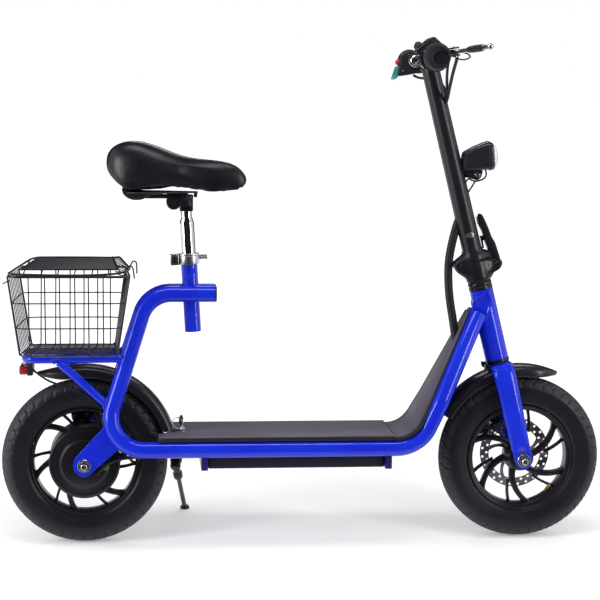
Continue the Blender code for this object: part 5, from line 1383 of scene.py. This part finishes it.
# %% Saddle clamp, rails and base
shapes = [block((158, -27, 650), (203, 27, 666), LEVEL, 3, 6),
          block((182, -13.6, 640), (208, 13.6, 668), LEVEL, 2, 5),
          block((160, -14, 660), (196, 14, 674), LEVEL, 1.5, 3),
          block((158, -27, 671.9), (198, 27, 674.2), LEVEL, 0.7, 4)]
TILT_X, TILT_Z, TEETH = 170.5, 657, 40
angle = np.linspace(0, 2 * np.pi, 4 * TEETH, endpoint=False)
teeth = 13.5 + 0.5 * np.sign(np.sin(angle * TEETH + 0.1))
serrated = np.stack([TILT_X + teeth * np.cos(angle), TILT_Z + teeth * np.sin(angle)], 1)
for low, high in ((25.6, 30), (-30, -25.6)):
    shapes.append(slab(serrated, low, high, LEVEL @ SIDE, 0.8))
piece("clamp_casting", shapes, "seat", cast, "saddle_clamp", sharp=36)
ends = []
for side in (1, -1):
    end = facing((TILT_X, side * 30, TILT_Z), (0, side, 0))
    ends += [washer(end, 0.1, 7, -0.2, 1), screw(end @ shift(0, 0, 0.9), 4, 2.6)]
piece("clamp_nuts", ends, "seat", satin)
half = bends([(106, 22, 668), (196, 22, 668), (205.5, 8, 668), (205.5, 0, 668)], (10, 5), 6)
rail = np.vstack([half * (1, -1, 1), half[-2::-1]])
piece("saddle_rail_bars", [tube(rail, 3.4, sides=20)], "seat", satin, "saddle_rails")
plan_rows = [(82, 44), (100, 54), (130, 52), (160, 38), (190, 25), (217, 12)]
x = np.linspace(82, 217, 40)
wide = between(x, plan_rows, 1)
plan = np.vstack([np.stack([x, -wide], 1), np.stack([x, wide], 1)[::-1]])
shapes = [slab(plan, 674.6, 677.6, LEVEL, 1)]
bumper = soften([(72, 684), (74, 674), (82, 666), (94, 661.5), (112, 662.5), (124, 671), (150, 673),
                 (150, 676.5), (100, 678)], [3, 5, 7, 8, 6, 4, 1, 1, 6], 4)
for side in (-1, 1):
    shapes.append(slab(bumper, side * 22 - 12, side * 22 + 12, LEVEL @ SIDE, 3))
shapes.append(block((209.6, -9, 666.5), (216, 9, 676.5), LEVEL, 1.4, 2))
piece("saddle_shell", shapes, "seat", plastic, "saddle_base", sharp=40)

# %% [markdown]
# ## The cushion
# Foam under stretched leather is neither a lathe shape nor a plate. A coarse cage of loops
# gives its form, and subdivision rounds it. Then Blender's Cloth fills it with air for
# twenty frames, as foam presses its leather outwards: the simulation starts from a copy
# that is drawn in by one millimetre, and no point may move more than six. The seam is not
# geometry, because remeshing would erase it. Each vertex keeps its height between the
# lower edge and the crown, and the leather material presses a line of stitches there.

# %% Leather
leather = Finish("saddle_leather", "black_leather", base_color=(0.008, 0.008, 0.010),
                 roughness=0.3, coat_weight=0.15, coat_roughness=0.3, specular_ior_level=0.25)
patches = leather.noise(26, 5.0, 0.6)
leather.feed(base_color=leather.mix(patches.soft(0.3, 0.7), (0.006, 0.0055, 0.009),
                                    (0.012, 0.011, 0.016)))
leather.feed(roughness=0.3 + 0.1 * (patches - 0.5))
height = leather.attribute("rise")
line = height.soft(0.2, 0.215) * (1 - height.soft(0.225, 0.24))
thread = leather.ridges("X", 1600) > -0.2
grain = leather.cells(620)
leather.bump(grain * 0.35 + leather.noise(90, 3.0) * 0.9 - line * (0.5 + 0.7 * thread), 0.0003)

# %% The cage, the simulation and the finished cushion
saddle_rows = [(42, 744, 716, 36), (48, 757, 704, 62), (58, 767, 693, 82), (74, 774, 677, 101),
               (91, 777, 675, 113), (110, 777, 676.5, 119), (142, 768, 681, 110),
               (175, 757, 680, 83), (205, 750, 672.5, 58), (240, 745, 668.5, 46),
               (275, 738.5, 670, 40), (299, 727, 675.5, 34), (313, 706, 688, 19)]
INSET, LONGEST_MOVE, VOXEL, FRAMES = 0.001, 0.006, 0.0045, 20


def saddle_cage():
    """Loops along the saddle: a crowned top, drawn-in sides and a channel in the middle."""
    x, top, bottom, wide = np.array(saddle_rows).T[:, :, None]
    tall, half = top - bottom, wide / 2
    hollow = np.minimum(8, 0.3 * tall)
    y = np.array([0, 0.34, 0.72, 1, 0.98, 0.86, 0.72, 0]) * half
    z = np.concatenate([top - 5, top, top - 0.1 * tall, bottom + 0.56 * tall,
                        bottom + 0.22 * tall, bottom, bottom + hollow, bottom + hollow], 1)
    side = np.stack([x + 0 * y, y, z], -1)
    mirror = side[:, -2:0:-1] * (1, -1, 1)
    return np.concatenate([side, mirror], 1)


def evaluated(obj):
    """A plain copy of an object's mesh with its modifiers applied."""
    graph = bpy.context.evaluated_depsgraph_get()
    return bpy.data.meshes.new_from_object(obj.evaluated_get(graph))


def settle(obj):
    """Make the modified mesh the object's own and drop the modifiers."""
    obj.data = evaluated(obj)
    obj.modifiers.clear()


cushion = piece("saddle_padding", [skin(at(saddle_cage(), LEVEL))], "seat", leather.material,
                "saddle_cushion", sharp=180)
smooth = cushion.modifiers.new("smooth", "SUBSURF")
smooth.levels = smooth.render_levels = 3
settle(cushion)
inset = INSET
drawn_in = vectors(cushion.data) - inset * vectors(cushion.data, "normal")
cushion.data.vertices.foreach_set("co", drawn_in.ravel())
voxels = cushion.modifiers.new("voxels", "REMESH")
voxels.mode = "VOXEL"
voxels.voxel_size = VOXEL
voxels.use_smooth_shade = True
settle(cushion)
start = vectors(cushion.data)
cloth = cushion.modifiers.new("stretched", "CLOTH")
for key, value in (("quality", 6), ("mass", 0.25), ("tension_stiffness", 30),
                   ("compression_stiffness", 30), ("shear_stiffness", 20),
                   ("bending_stiffness", 20), ("use_pressure", True),
                   ("uniform_pressure_force", 10)):
    setattr(cloth.settings, key, value)
cloth.settings.effector_weights.gravity = 0
cloth.collision_settings.use_collision = False
cloth.point_cache.frame_start = 1
cloth.point_cache.frame_end = FRAMES
for step in range(1, FRAMES + 1):
    bpy.context.scene.frame_set(step)
moved = vectors(evaluated(cushion)) - start
cushion.modifiers.clear()
bpy.context.scene.frame_set(1)
far = np.linalg.norm(moved, axis=1, keepdims=True)
moved *= np.minimum(1, LONGEST_MOVE / np.maximum(far, 1e-9))
cushion.data.vertices.foreach_set("co", (start + moved).ravel())
print("cushion points moved up to", round(float(far.max()) * 1000, 1), "mm before the cap")
now = local(cushion, LEVEL)
seam_rows = [(42, 744, 716), (58, 767, 693), (74, 774, 677), (108, 777, 676.5), (142, 768, 681),
             (205, 750, 672.5), (240, 745, 668.5), (275, 738.5, 670), (313, 706, 688)]
low, top = (between(now[:, 0], seam_rows, column) for column in (2, 1))
mark(cushion, "rise", (now[:, 2] - low) / (top - low))
cushion.data.update()
finer = cushion.modifiers.new("finer", "SUBSURF")
finer.levels = finer.render_levels = 1
print("cushion faces", len(cushion.data.polygons))

# %% [markdown]
# ## The wire basket
# Every wire is a bent rod. Six go down the near side, across the floor and up the far side,
# and nine run the other way. A thick rim, two hoops and one more round the floor tie them
# together, with a rod at each corner. The positions are those that the photograph shows,
# taken back through the camera to the basket's own sides.

# %% Wires of the basket
FLOOR = np.array([(-118, -84), (64, -84), (57, 84), (-104, 84)], float)
RIM = np.array([(-138, -115), (88, -115), (78, 115), (-132, 115)], float)
FLOOR_Z, DEPTH = 370.2, 155.8


def corners_at(height):
    """The basket's four corners, between those of its floor and those of its rim."""
    return FLOOR + (height - FLOOR_Z) / DEPTH * (RIM - FLOOR)


def hoop(height, moved=0.0, radius=26):
    """The basket's outline at a height, with round corners."""
    corners = corners_at(height)
    corners = corners + moved * np.sign(corners - corners.mean(0))
    flat = soften(corners, radius, 8)
    return np.c_[flat, np.full(len(flat), height)]


def end_point(share, height, front):
    """A point on the basket's front or rear side; share goes from -1, near, to 1, far."""
    corners = corners_at(height)
    near, far = (corners[1], corners[2]) if front else (corners[0], corners[3])
    return (*(near + (far - near) * (share + 1) / 2), height)


shapes = [tube(hoop(523.4), 2.5, sides=12, closed=True)]
shapes += [tube(hoop(*row), wire, sides=10, closed=True)
           for row, wire in (((473, 1.2), 1.3), ((425, 1.2), 1.3), ((372.4, 1, 22), 1.6))]
for near, far in ((-99, -87.5), (-69, -59), (-41.8, -31), (-13.8, -3.7), (11.3, 23.1),
                  (38.5, 48)):
    corners = [(near, -115, 524), (near, -84.6, 371.9), (far, 84.6, 371.9), (far, 115, 524)]
    shapes.append(tube(bends(corners, (12, 12), 8), 1.3, sides=10))
for share in np.linspace(-0.86, 0.86, 9):
    corners = [end_point(share, 524, False), end_point(share * 0.9, 374.2, False),
               end_point(share * 0.9, 374.2, True), end_point(share, 524, True)]
    shapes.append(tube(bends(corners, (12, 12), 8), 1, sides=10))
for front in (False, True):
    for share in (-0.94, 0.94):
        rod = [end_point(share, 524, front), end_point(share * 0.98, 373, front)]
        shapes.append(tube(rod, 1.9, sides=10))
stub = curve([(-132, -112.5, 517), (-139, -114, 514.5), (-146, -114.5, 510.5)], 4)
shapes.append(tube(stub, 1.2, sides=8))
piece("basket_wires", shapes, "frame", wire_coat, "basket", sharp=60)

# %% [markdown]
# The lid is a wire frame with a board on it. The board covers the far two thirds, so the
# wires show alone along the near edge and at both ends. The front edge curls up above the
# rim, and short rungs tie it to a second wire behind it. Two braces cross the near corner.

# %% Lid, board and hooks


def lid_top(y):
    """The lid's upper surface rises gently from the near edge to the far edge."""
    return 529.5 + (y + 116) * 12.5 / 228


def lid_end(y, front):
    """X of the lid's front or rear end, which both run askew."""
    return 89 - 22 * (y + 116) / 230 if front else -138.5 + 36 * (y + 116) / 234


def lid_edge(y):
    """Height of the lid's front edge: it curls up above the rim, more so at the near corner."""
    return lid_top(y) + 7.5 - 6.5 * np.clip((y + 60) / 170, 0, 1)


def second_wire(y, gap):
    """A point on the wire behind the front edge, a gap back from it."""
    return lid_end(y, True) - gap + 5 * (y + 110) / 220, y, lid_top(y) + 1.2


near_edge = [(-126, 528.8), (-90, 527.6), (-25, 526.4), (30, 527.4), (64, 530)]
border = curve([(x, -114.5, z) for x, z in near_edge]
               + [(80, -112, 534), (87, -102, 537.4), (86, -80, 538.8), (77, 0, lid_edge(0)),
                  (68.5, 84, lid_edge(84)), (64, 104, lid_edge(104)), (50, 113, 541.2),
                  (0, 114.5, 541.6), (-84, 114.5, 541.6), (-101, 106, 540.6), (-108, 84, 539.2),
                  (-121, 0, 534.6), (-133, -84, 530), (-135, -104, 529.2)], 5, closed=True)
shapes = [tube(border, 2.2, sides=12, closed=True)]
shapes.append(tube([second_wire(y, 19) for y in np.linspace(-108, 112, 14)], 1.4, sides=8))
for y in np.linspace(-92, 104, 11):
    rung = [second_wire(y, 18.6), (lid_end(y, True) - 1.5, y + 9, lid_edge(y) - 0.6)]
    shapes.append(tube(rung, 1, sides=8))
for x in (-108, -75, -45, -14, 18, 48):
    y = np.linspace(-114, 111, 12)
    z = lid_top(y) - 2.6 + 3.2 * np.clip((y + 114) / 60, 0, 1) * np.clip((-40 - y) / 20, 0, 1)
    shapes.append(tube(np.stack([x + 0 * y, y, np.maximum(z, 527.4)], 1), 1.3, sides=10))
for y in np.linspace(-40, 106, 12):
    x = np.array([lid_end(y, False) + 4, lid_end(y, True) - 17])
    shapes.append(tube(np.stack([x, y + 0 * x, lid_top(y) - 3.4 + 0 * x], 1), 1.1, sides=8))
for low in (0, 4.5):
    brace = curve([(60, -84, 531.5 - low), (70, -98, 530.5 - low), (81, -108, 529 - low)], 4)
    shapes.append(tube(brace, 1.1, sides=8))
hook = curve([(80, -40, 532), (88, -40, 538), (92, -40, 545), (96, -40, 547), (99.5, -40, 544),
              (100.5, -40, 536), (100.5, -40, 523)], 6)
latch = curve([(82, -48, 533), (89, -48, 538), (93, -48, 534), (94.5, -48, 526), (96, -48, 514)], 6)
shapes += [tube(hook, 1.5, sides=10), tube(latch, 1.5, sides=10)]
piece("lid_wires", shapes, "basket_lid", wire_coat, "basket_lid", sharp=60)
board_skin = speckled("lid_board", "black_paint", (0.016, 0.015, 0.021), (0.024, 0.023, 0.031),
                      0.4, 0.1, 260, 0.0002)
y = np.linspace(-42, 113, 24)[:, None]
deep = (y + 42) / 155
left, right = lid_end(y, False) + 13 - 4 * deep, lid_end(y, True) - 16 + 3 * deep
share = np.linspace(0, 1, 30)
over = left * (1 - share) + right * share
crown = 3.2 * np.sin(np.pi * share) * np.sin(np.pi * deep) - 0.2
top = np.stack([over, y + 0 * over, lid_top(y) - 0.9 + crown], -1)
lip = [top[-1] + (0, 2.4, -1), top[-1] + (0, 3.4, -3), top[-1] + (0, 3.4, -9.5)]
sheet_rings = at(np.concatenate([top, np.stack(lip)]), LEVEL)
board = piece("lid_board", [skin(sheet_rings, around=False, caps=False)], "basket_lid",
              board_skin.material, sharp=60)
wall = board.modifiers.new("wall", "SOLIDIFY")
wall.thickness = 0.0014
print("triangles so far", COUNT["triangles"])

# %% [markdown]
# ## Kickstand, ignition lock and battery case
# The stand is a hub on a slanted pin and a turned rod with a thick stop; its foot is a
# round pad whose sole is flat on the ground. The lock is a barrel. One key stands in it, and
# a ring ties it to a spare one that lies on the deck.

# %% Stand
length = float(np.linalg.norm(foot - hinge))
hub = [(10.5, 6.2), (10, 6.7), (4.3, 6.7), (4.3, -7), (10, -7), (10.5, -6.5)]
rod = [(0, length - 3), (4.6, length - 6), (4.6, 53), (5, 51.5), (8.6, 46.5), (9.5, 44), (9.5, 31),
       (8.8, 29.4), (6.9, 26), (6.5, 24), (7.5, 8), (7.5, 5), (0, 5)]
flat_foot = LEVEL @ shift(*foot) @ turn("x", LEAN)
sole = -flat_foot[2, 3] / MM
pad = [(0, 5), (7, 5), (8, 4.2), (9.5, 1.5), (9.5, sole + 1), (8.8, sole), (0, sole)]
piece("stand_leg", [lathe(hub, STAND, 40, closed=True), lathe(rod, STAND @ turn("y", 90), 36),
                    lathe(pad, flat_foot, 36)], "kickstand", satin, "kickstand", sharp=40)
pin_top = [(0, 10.2), (4.6, 10.2), (5.6, 9), (5.6, 7), (0, 7)]
piece("stand_pin", [lathe(pin_top, STAND, 32)], "frame", zinc)

# %% Lock, key and ring
LOCK = LEVEL @ shift(185, -8, 215.4)
barrel = [(0, 5.4), (3.2, 5.4), (3.4, 6.9), (5.6, 7), (8.6, 5.4), (9.5, 4.4), (9.5, 0.4), (8, 0.4),
          (8, -10.5), (0, -10.5)]
piece("lock_barrel", [lathe(barrel, LOCK, 48)], "frame", zinc, "key_lock", sharp=34)
BOW, HOLE = (9.5, 21), (3, 24)
loops = [(BOW, -0.6, -1.2), (BOW, 0, -0.7), (BOW, 0, 0.7), (BOW, -0.6, 1.2), (HOLE, 0.4, 1.2),
         (HOLE, 0, 0.8), (HOLE, 0, -0.8), (HOLE, 0.4, -1.2), (BOW, -0.6, -1.2)]
wall = np.stack([np.c_[circle(radius + grow, 40, (0, middle)), np.full(40, z)]
                 for (radius, middle), grow, z in loops])
upright = LOCK @ turn("z", 68) @ SIDE
lying = LEVEL @ shift(170, -17, 217.8) @ turn("z", -32)
shapes = [skin(at(wall, upright), caps=False), skin(at(wall - (0, 21, 0), lying), caps=False)]
piece("key_bows", shapes, "key", plastic, sharp=40)
blades = [block((-3.2, 7.4, -1.1), (3.2, 14, 1.1), upright, 0.3, 0.5),
          block((-3, -32, -1), (3, -8, 1), lying, 0.3, 0.5)]
t = np.linspace(0, 2 * np.pi, 48, endpoint=False)[:, None]
ring = 11 * (np.cos(t) * (0.86, 0.45, 0.25) + np.sin(t) * (-0.35, 0.2, 0.9)) + (-7, -4, 15)
blades.append(tube(ring, 0.9, LOCK, 10, closed=True))
piece("key_and_ring", blades, "key", zinc, "key", sharp=40)

# %% Battery case with its lid seam and screws
shapes = [block((235.5, -57.5, 149.4), (575.5, 57.5, 196.6), LEVEL, 2, 5),
          block((236.6, -56.4, 196.4), (574.4, 56.4, 198), LEVEL, 0.4, 4.5),
          block((235.5, -57.5, 197.8), (575.5, 57.5, 205.5), LEVEL, 1.8, 5)]
shapes += [screw(facing((x, y, 205.4), (0, 0, 1)), 3.6, 1.8, 0.45)
           for x in (250, 405, 560) for y in (-46, 46)]
case_black = speckled("case_black", "black_plastic", (0.005, 0.0055, 0.018),
                      (0.007, 0.0075, 0.024), 0.42, 0.08, 900, 0.00006).material
piece("battery_box", shapes, "frame", case_black, "battery_case", sharp=40)
plug = [(0, 1.6), (12.6, 1.6), (14, 2.4), (15.2, 2), (15.7, 1), (15.7, 0), (0, 0)]
shapes = [lathe(plug, facing((250.4, y, RAIL_LEVEL), (1, 0, 0)), 48) for y in (-22, 22)]
shapes.append(block((250.4, -12, 476.5), (252.3, 12, 488.5), edge=0.6))
piece("rail_plug", shapes, "frame", plastic, "tube_end_cap", sharp=40)

# %% [markdown]
# ## Cables
# A corrugated sleeve carries the wiring harness from the headset down to the deck: a tube
# whose radius follows a sine along its length. Bare cables run from the handlebar into its
# mouth. All of them are held at both ends, so they are pieces of the frame or the stem.

# %% Harness sleeve, handlebar, motor and lamp cables
way = np.array([(730, 640), (725, 628), (719.4, 612), (715.2, 596), (711, 578), (707.6, 560),
                (705.2, 540), (704.8, 516), (706.4, 487), (709.6, 461), (714.6, 432),
                (719.5, 400), (721, 374), (706, 330), (683, 277), (659, 231), (644.7, 212),
                (622, 197), (606, 180), (594, 172.5), (585, 172), (574.5, 172)])
STEP, RIDGE_PITCH = 0.8, 4.0
way = even(curve(np.c_[way[:, 0], 0 * way[:, 0], way[:, 1]], 12), STEP)
ridge = 8.3 + 0.5 * np.sin(np.arange(len(way)) * STEP * 2 * np.pi / RIDGE_PITCH)
piece("harness_sleeve", [tube(way, ridge, sides=20, edge=0.3)], "frame", cable_skin, "cable_bundle",
      sharp=60)
right = [(36.5, -110, 444), (34.8, -104, 434), (31.6, -94, 424.5), (27, -80, 411.5),
         (22.4, -58, 394), (19, -38, 379), (16.4, -22, 367), (12, -12, 356)]
inner = [(24, -92, 441), (21, -86, 431), (18.4, -77, 420), (17, -60, 405), (16.6, -42, 389),
         (15.4, -25, 374), (11.5, -12, 363)]
left = [(-12, 146, 420.4), (-5, 136, 414), (6, 118, 409), (15, 84, 404), (21, 50, 396),
        (22, 22, 384), (19.5, 2, 372), (13.5, -11, 360)]
loop = [(31.6, -110, 446), (46.7, -110, 444.2), (57, -109, 438.5), (59.8, -108, 433),
        (53.1, -107, 430.3), (42, -107, 432), (33, -108, 438)]
shapes = [tube(curve(c, 10), r, HEAD, 16) for c, r in ((right, 3.2), (inner, 2.8), (left, 2.6),
                                                      (loop, 1.4))]
piece("handlebar_cables", shapes, "stem", cable_skin, "bar_cables", sharp=60)
motor = [(22, -53.5, 140), (42, -53.5, 159), (62, -53, 168), (84, -49, 171), (106, -42, 171),
         (132, -33, 171), (160, -27, 170.5), (190, -25, 170.5), (221.4, -24, 171)]
piece("motor_lead", [tube(curve(motor, 10), 3.6, sides=16)], "frame", cable_skin, "motor_cable",
      sharp=60)
lamp = [(-96, -14, 336), (-90, -30, 333), (-78, -46, 327), (-63.8, -50, 319.5), (-35.7, -52, 309),
        (-17, -54, 303.8), (-3.7, -55, 298), (11.4, -54, 288), (22.6, -50, 276.6), (33.9, -46, 263)]
piece("lamp_lead", [tube(curve(lamp, 10), 2.0, sides=14)], "frame", cable_skin, "tail_light_cable",
      sharp=60)

# %% [markdown]
# ## Hidden nodes
# The cells, the controller, the stator and the bearings keep their CAD shapes, because a
# closed case hides them. They still get a finish, for anyone who opens the model.

# %% Finishes of the CAD nodes that stay
for name, finish in (("battery_pack", wrap), ("motor_controller", bare_alloy),
                     ("motor_stator", disc_steel), ("front_bearings", zinc)):
    for slot in bpy.data.objects[name].material_slots:
        slot.link = "OBJECT"
        slot.material = finish

# %% [markdown]
# ## Studio
# The photograph was taken from the scooter's right side with a long lens. Both wheels are
# circles of a known size, so their ellipses fix where the camera stood: 3.4 m away and a
# little above the saddle. Its axes are written in the scooter's level frame and then lean
# with it. The world is plain white to the camera and to reflections, and dimmer as a light.

# %% Camera
FOCAL_PIXELS, PICTURE_PIXELS, SENSOR = 1758.0, 600, 36
DISTANCE, AIM = 3405.0, np.array([415.0, 0.0, 468.0])
yaw, pitch, roll = np.radians([5.18, 5.97, 0.42])
forward = np.array([np.sin(yaw) * np.cos(pitch), np.cos(yaw) * np.cos(pitch), -np.sin(pitch)])
flat_right = np.array([np.cos(yaw), -np.sin(yaw), 0])
flat_up = np.cross(flat_right, forward)
across = np.cos(roll) * flat_right + np.sin(roll) * flat_up
upward = -np.sin(roll) * flat_right + np.cos(roll) * flat_up
axes = LEVEL[:3, :3] @ np.stack([across, upward, -forward], 1)
spot = at(AIM - forward * DISTANCE, LEVEL)
camera = bpy.data.cameras.new("portrait_camera")
camera.sensor_fit = "HORIZONTAL"
camera.sensor_width = SENSOR
camera.lens = FOCAL_PIXELS * SENSOR / PICTURE_PIXELS
camera.clip_end = 60
camera_object = put("portrait_camera", camera)
pose = np.eye(4)
pose[:3, :3], pose[:3, 3] = axes, spot
camera_object.matrix_world = Matrix(pose.tolist())
bpy.context.scene.camera = camera_object
print("lens", round(camera.lens, 1), "mm at", np.round(spot, 3))

# %% Lamps, world and floor


def softbox(name, spot, aim, size, watts):
    """A rectangular area lamp that looks at a point."""
    light = bpy.data.lights.new(name, "AREA")
    light.shape = "RECTANGLE"
    light.size, light.size_y = size
    light.energy = watts
    lamp = put(name, light)
    away = np.array(spot, float) - aim
    back = away / np.linalg.norm(away)
    across = np.cross((0, 0, 1), back)
    across /= np.linalg.norm(across)
    pose = along_axes(across, np.cross(back, across), back)
    pose[:3, 3] = spot
    lamp.matrix_world = Matrix(pose.tolist())
    lamp.visible_camera = False


def sheet(name, corners, material):
    """A flat sheet that belongs to the studio and not to the scooter."""
    mesh = bpy.data.meshes.new(name)
    mesh.from_pydata(corners, [], [(0, 1, 2, 3)])
    mesh.materials.append(material)
    obj = put(name, mesh)
    return obj


softbox("overhead", (-0.1, -0.35, 2.4), (0, 0, 0.4), (2.0, 0.4), 19)
softbox("left", (-2.35, -1.05, 1.1), (0, 0, 0.5), (0.55, 1.6), 34)
softbox("right", (2.1, -1.6, 1.1), (0, 0, 0.5), (0.35, 1.6), 23)
softbox("behind", (0.4, 2.2, 1.9), (0, 0, 0.5), (1.8, 0.4), 12)

# Four dark cards stand where a studio has its dark walls. Only reflections see them: they
# keep gloss paint and chrome from turning white, and nothing else changes.
dark = Finish("dark_card", base_color=(0.02, 0.02, 0.02), roughness=1.0)
WALL, LOW, HIGH = 3.7, 0.02, 4.6
cards = {"card_right": [(-12, -WALL, LOW), (7.5, -WALL, LOW), (7.5, -WALL, HIGH),
                        (-12, -WALL, HIGH)],
         "card_left": [(-7.5, WALL, LOW), (7.5, WALL, LOW), (7.5, WALL, HIGH), (-7.5, WALL, HIGH)],
         "card_below": [(-7.5, -WALL, LOW), (7.5, -WALL, LOW), (7.5, -0.45, LOW),
                        (-7.5, -0.45, LOW)],
         "card_above": [(-4, -WALL, HIGH), (4, -WALL, HIGH), (4, WALL, HIGH), (-4, WALL, HIGH)]}
for name, corners in cards.items():
    card = sheet(name, corners, dark.material)
    card.visible_camera = card.visible_diffuse = card.visible_shadow = False
    card.visible_transmission = card.visible_volume_scatter = False


def strength(tree, dim, bright):
    """bright for camera, mirror and glass rays, and dim for the rays that light things."""
    rays = add_node(tree, "LightPath", {})
    total = rays["Is Camera Ray"]
    for kind in ("Is Glossy Ray", "Is Transmission Ray"):
        either = add_node(tree, "Math", {0: total, 1: rays[kind]}, operation="ADD",
                          use_clamp=True)
        total = either[0]
    return add_node(tree, "MapRange", {"To Min": dim, "To Max": bright, "Value": total})[0]


world = bpy.data.worlds.new("studio")
bpy.context.scene.world = world
world.use_nodes = True
tree = world.node_tree
sky = tree.nodes["Background"]
sky.inputs["Color"].default_value = (1, 1, 1, 1)
tree.links.new(strength(tree, 0.55, 1.0), sky.inputs["Strength"])

# The floor is a matte pale grey. To the camera it also glows a little, more so far away,
# where the lamps don't reach, so that it meets the white background without a line.
ground = bpy.data.materials.new("pale_floor")
ground.use_nodes = True
tree = ground.node_tree
tree.nodes.clear()
centre = add_node(tree, "TexCoord", {})["Object"]
gap = add_node(tree, "VectorMath", {0: centre}, operation="LENGTH")
fade = add_node(tree, "MapRange", {"From Min": 0.8, "From Max": 2.6, "To Min": 0.22,
                                   "To Max": 0.62, "Value": gap["Value"]})
visible = add_node(tree, "Math", {0: fade[0], 1: strength(tree, 0.0, 1.0)}, operation="MULTIPLY")
glow = add_node(tree, "Emission", {"Strength": visible[0]})
matte = add_node(tree, "BsdfDiffuse", {"Color": (0.86, 0.86, 0.86, 1)})
both = add_node(tree, "AddShader", {0: matte[0], 1: glow[0]})
add_node(tree, "OutputMaterial", {"Surface": both[0]})
reach = 9.0
sheet("floor", [(-reach, -reach, 0), (reach, -reach, 0), (reach, reach, 0), (-reach, reach, 0)],
      ground)
bpy.context.scene.view_settings.view_transform = "Standard"

# %% Triangle count
print("triangles before modifiers", COUNT["triangles"])
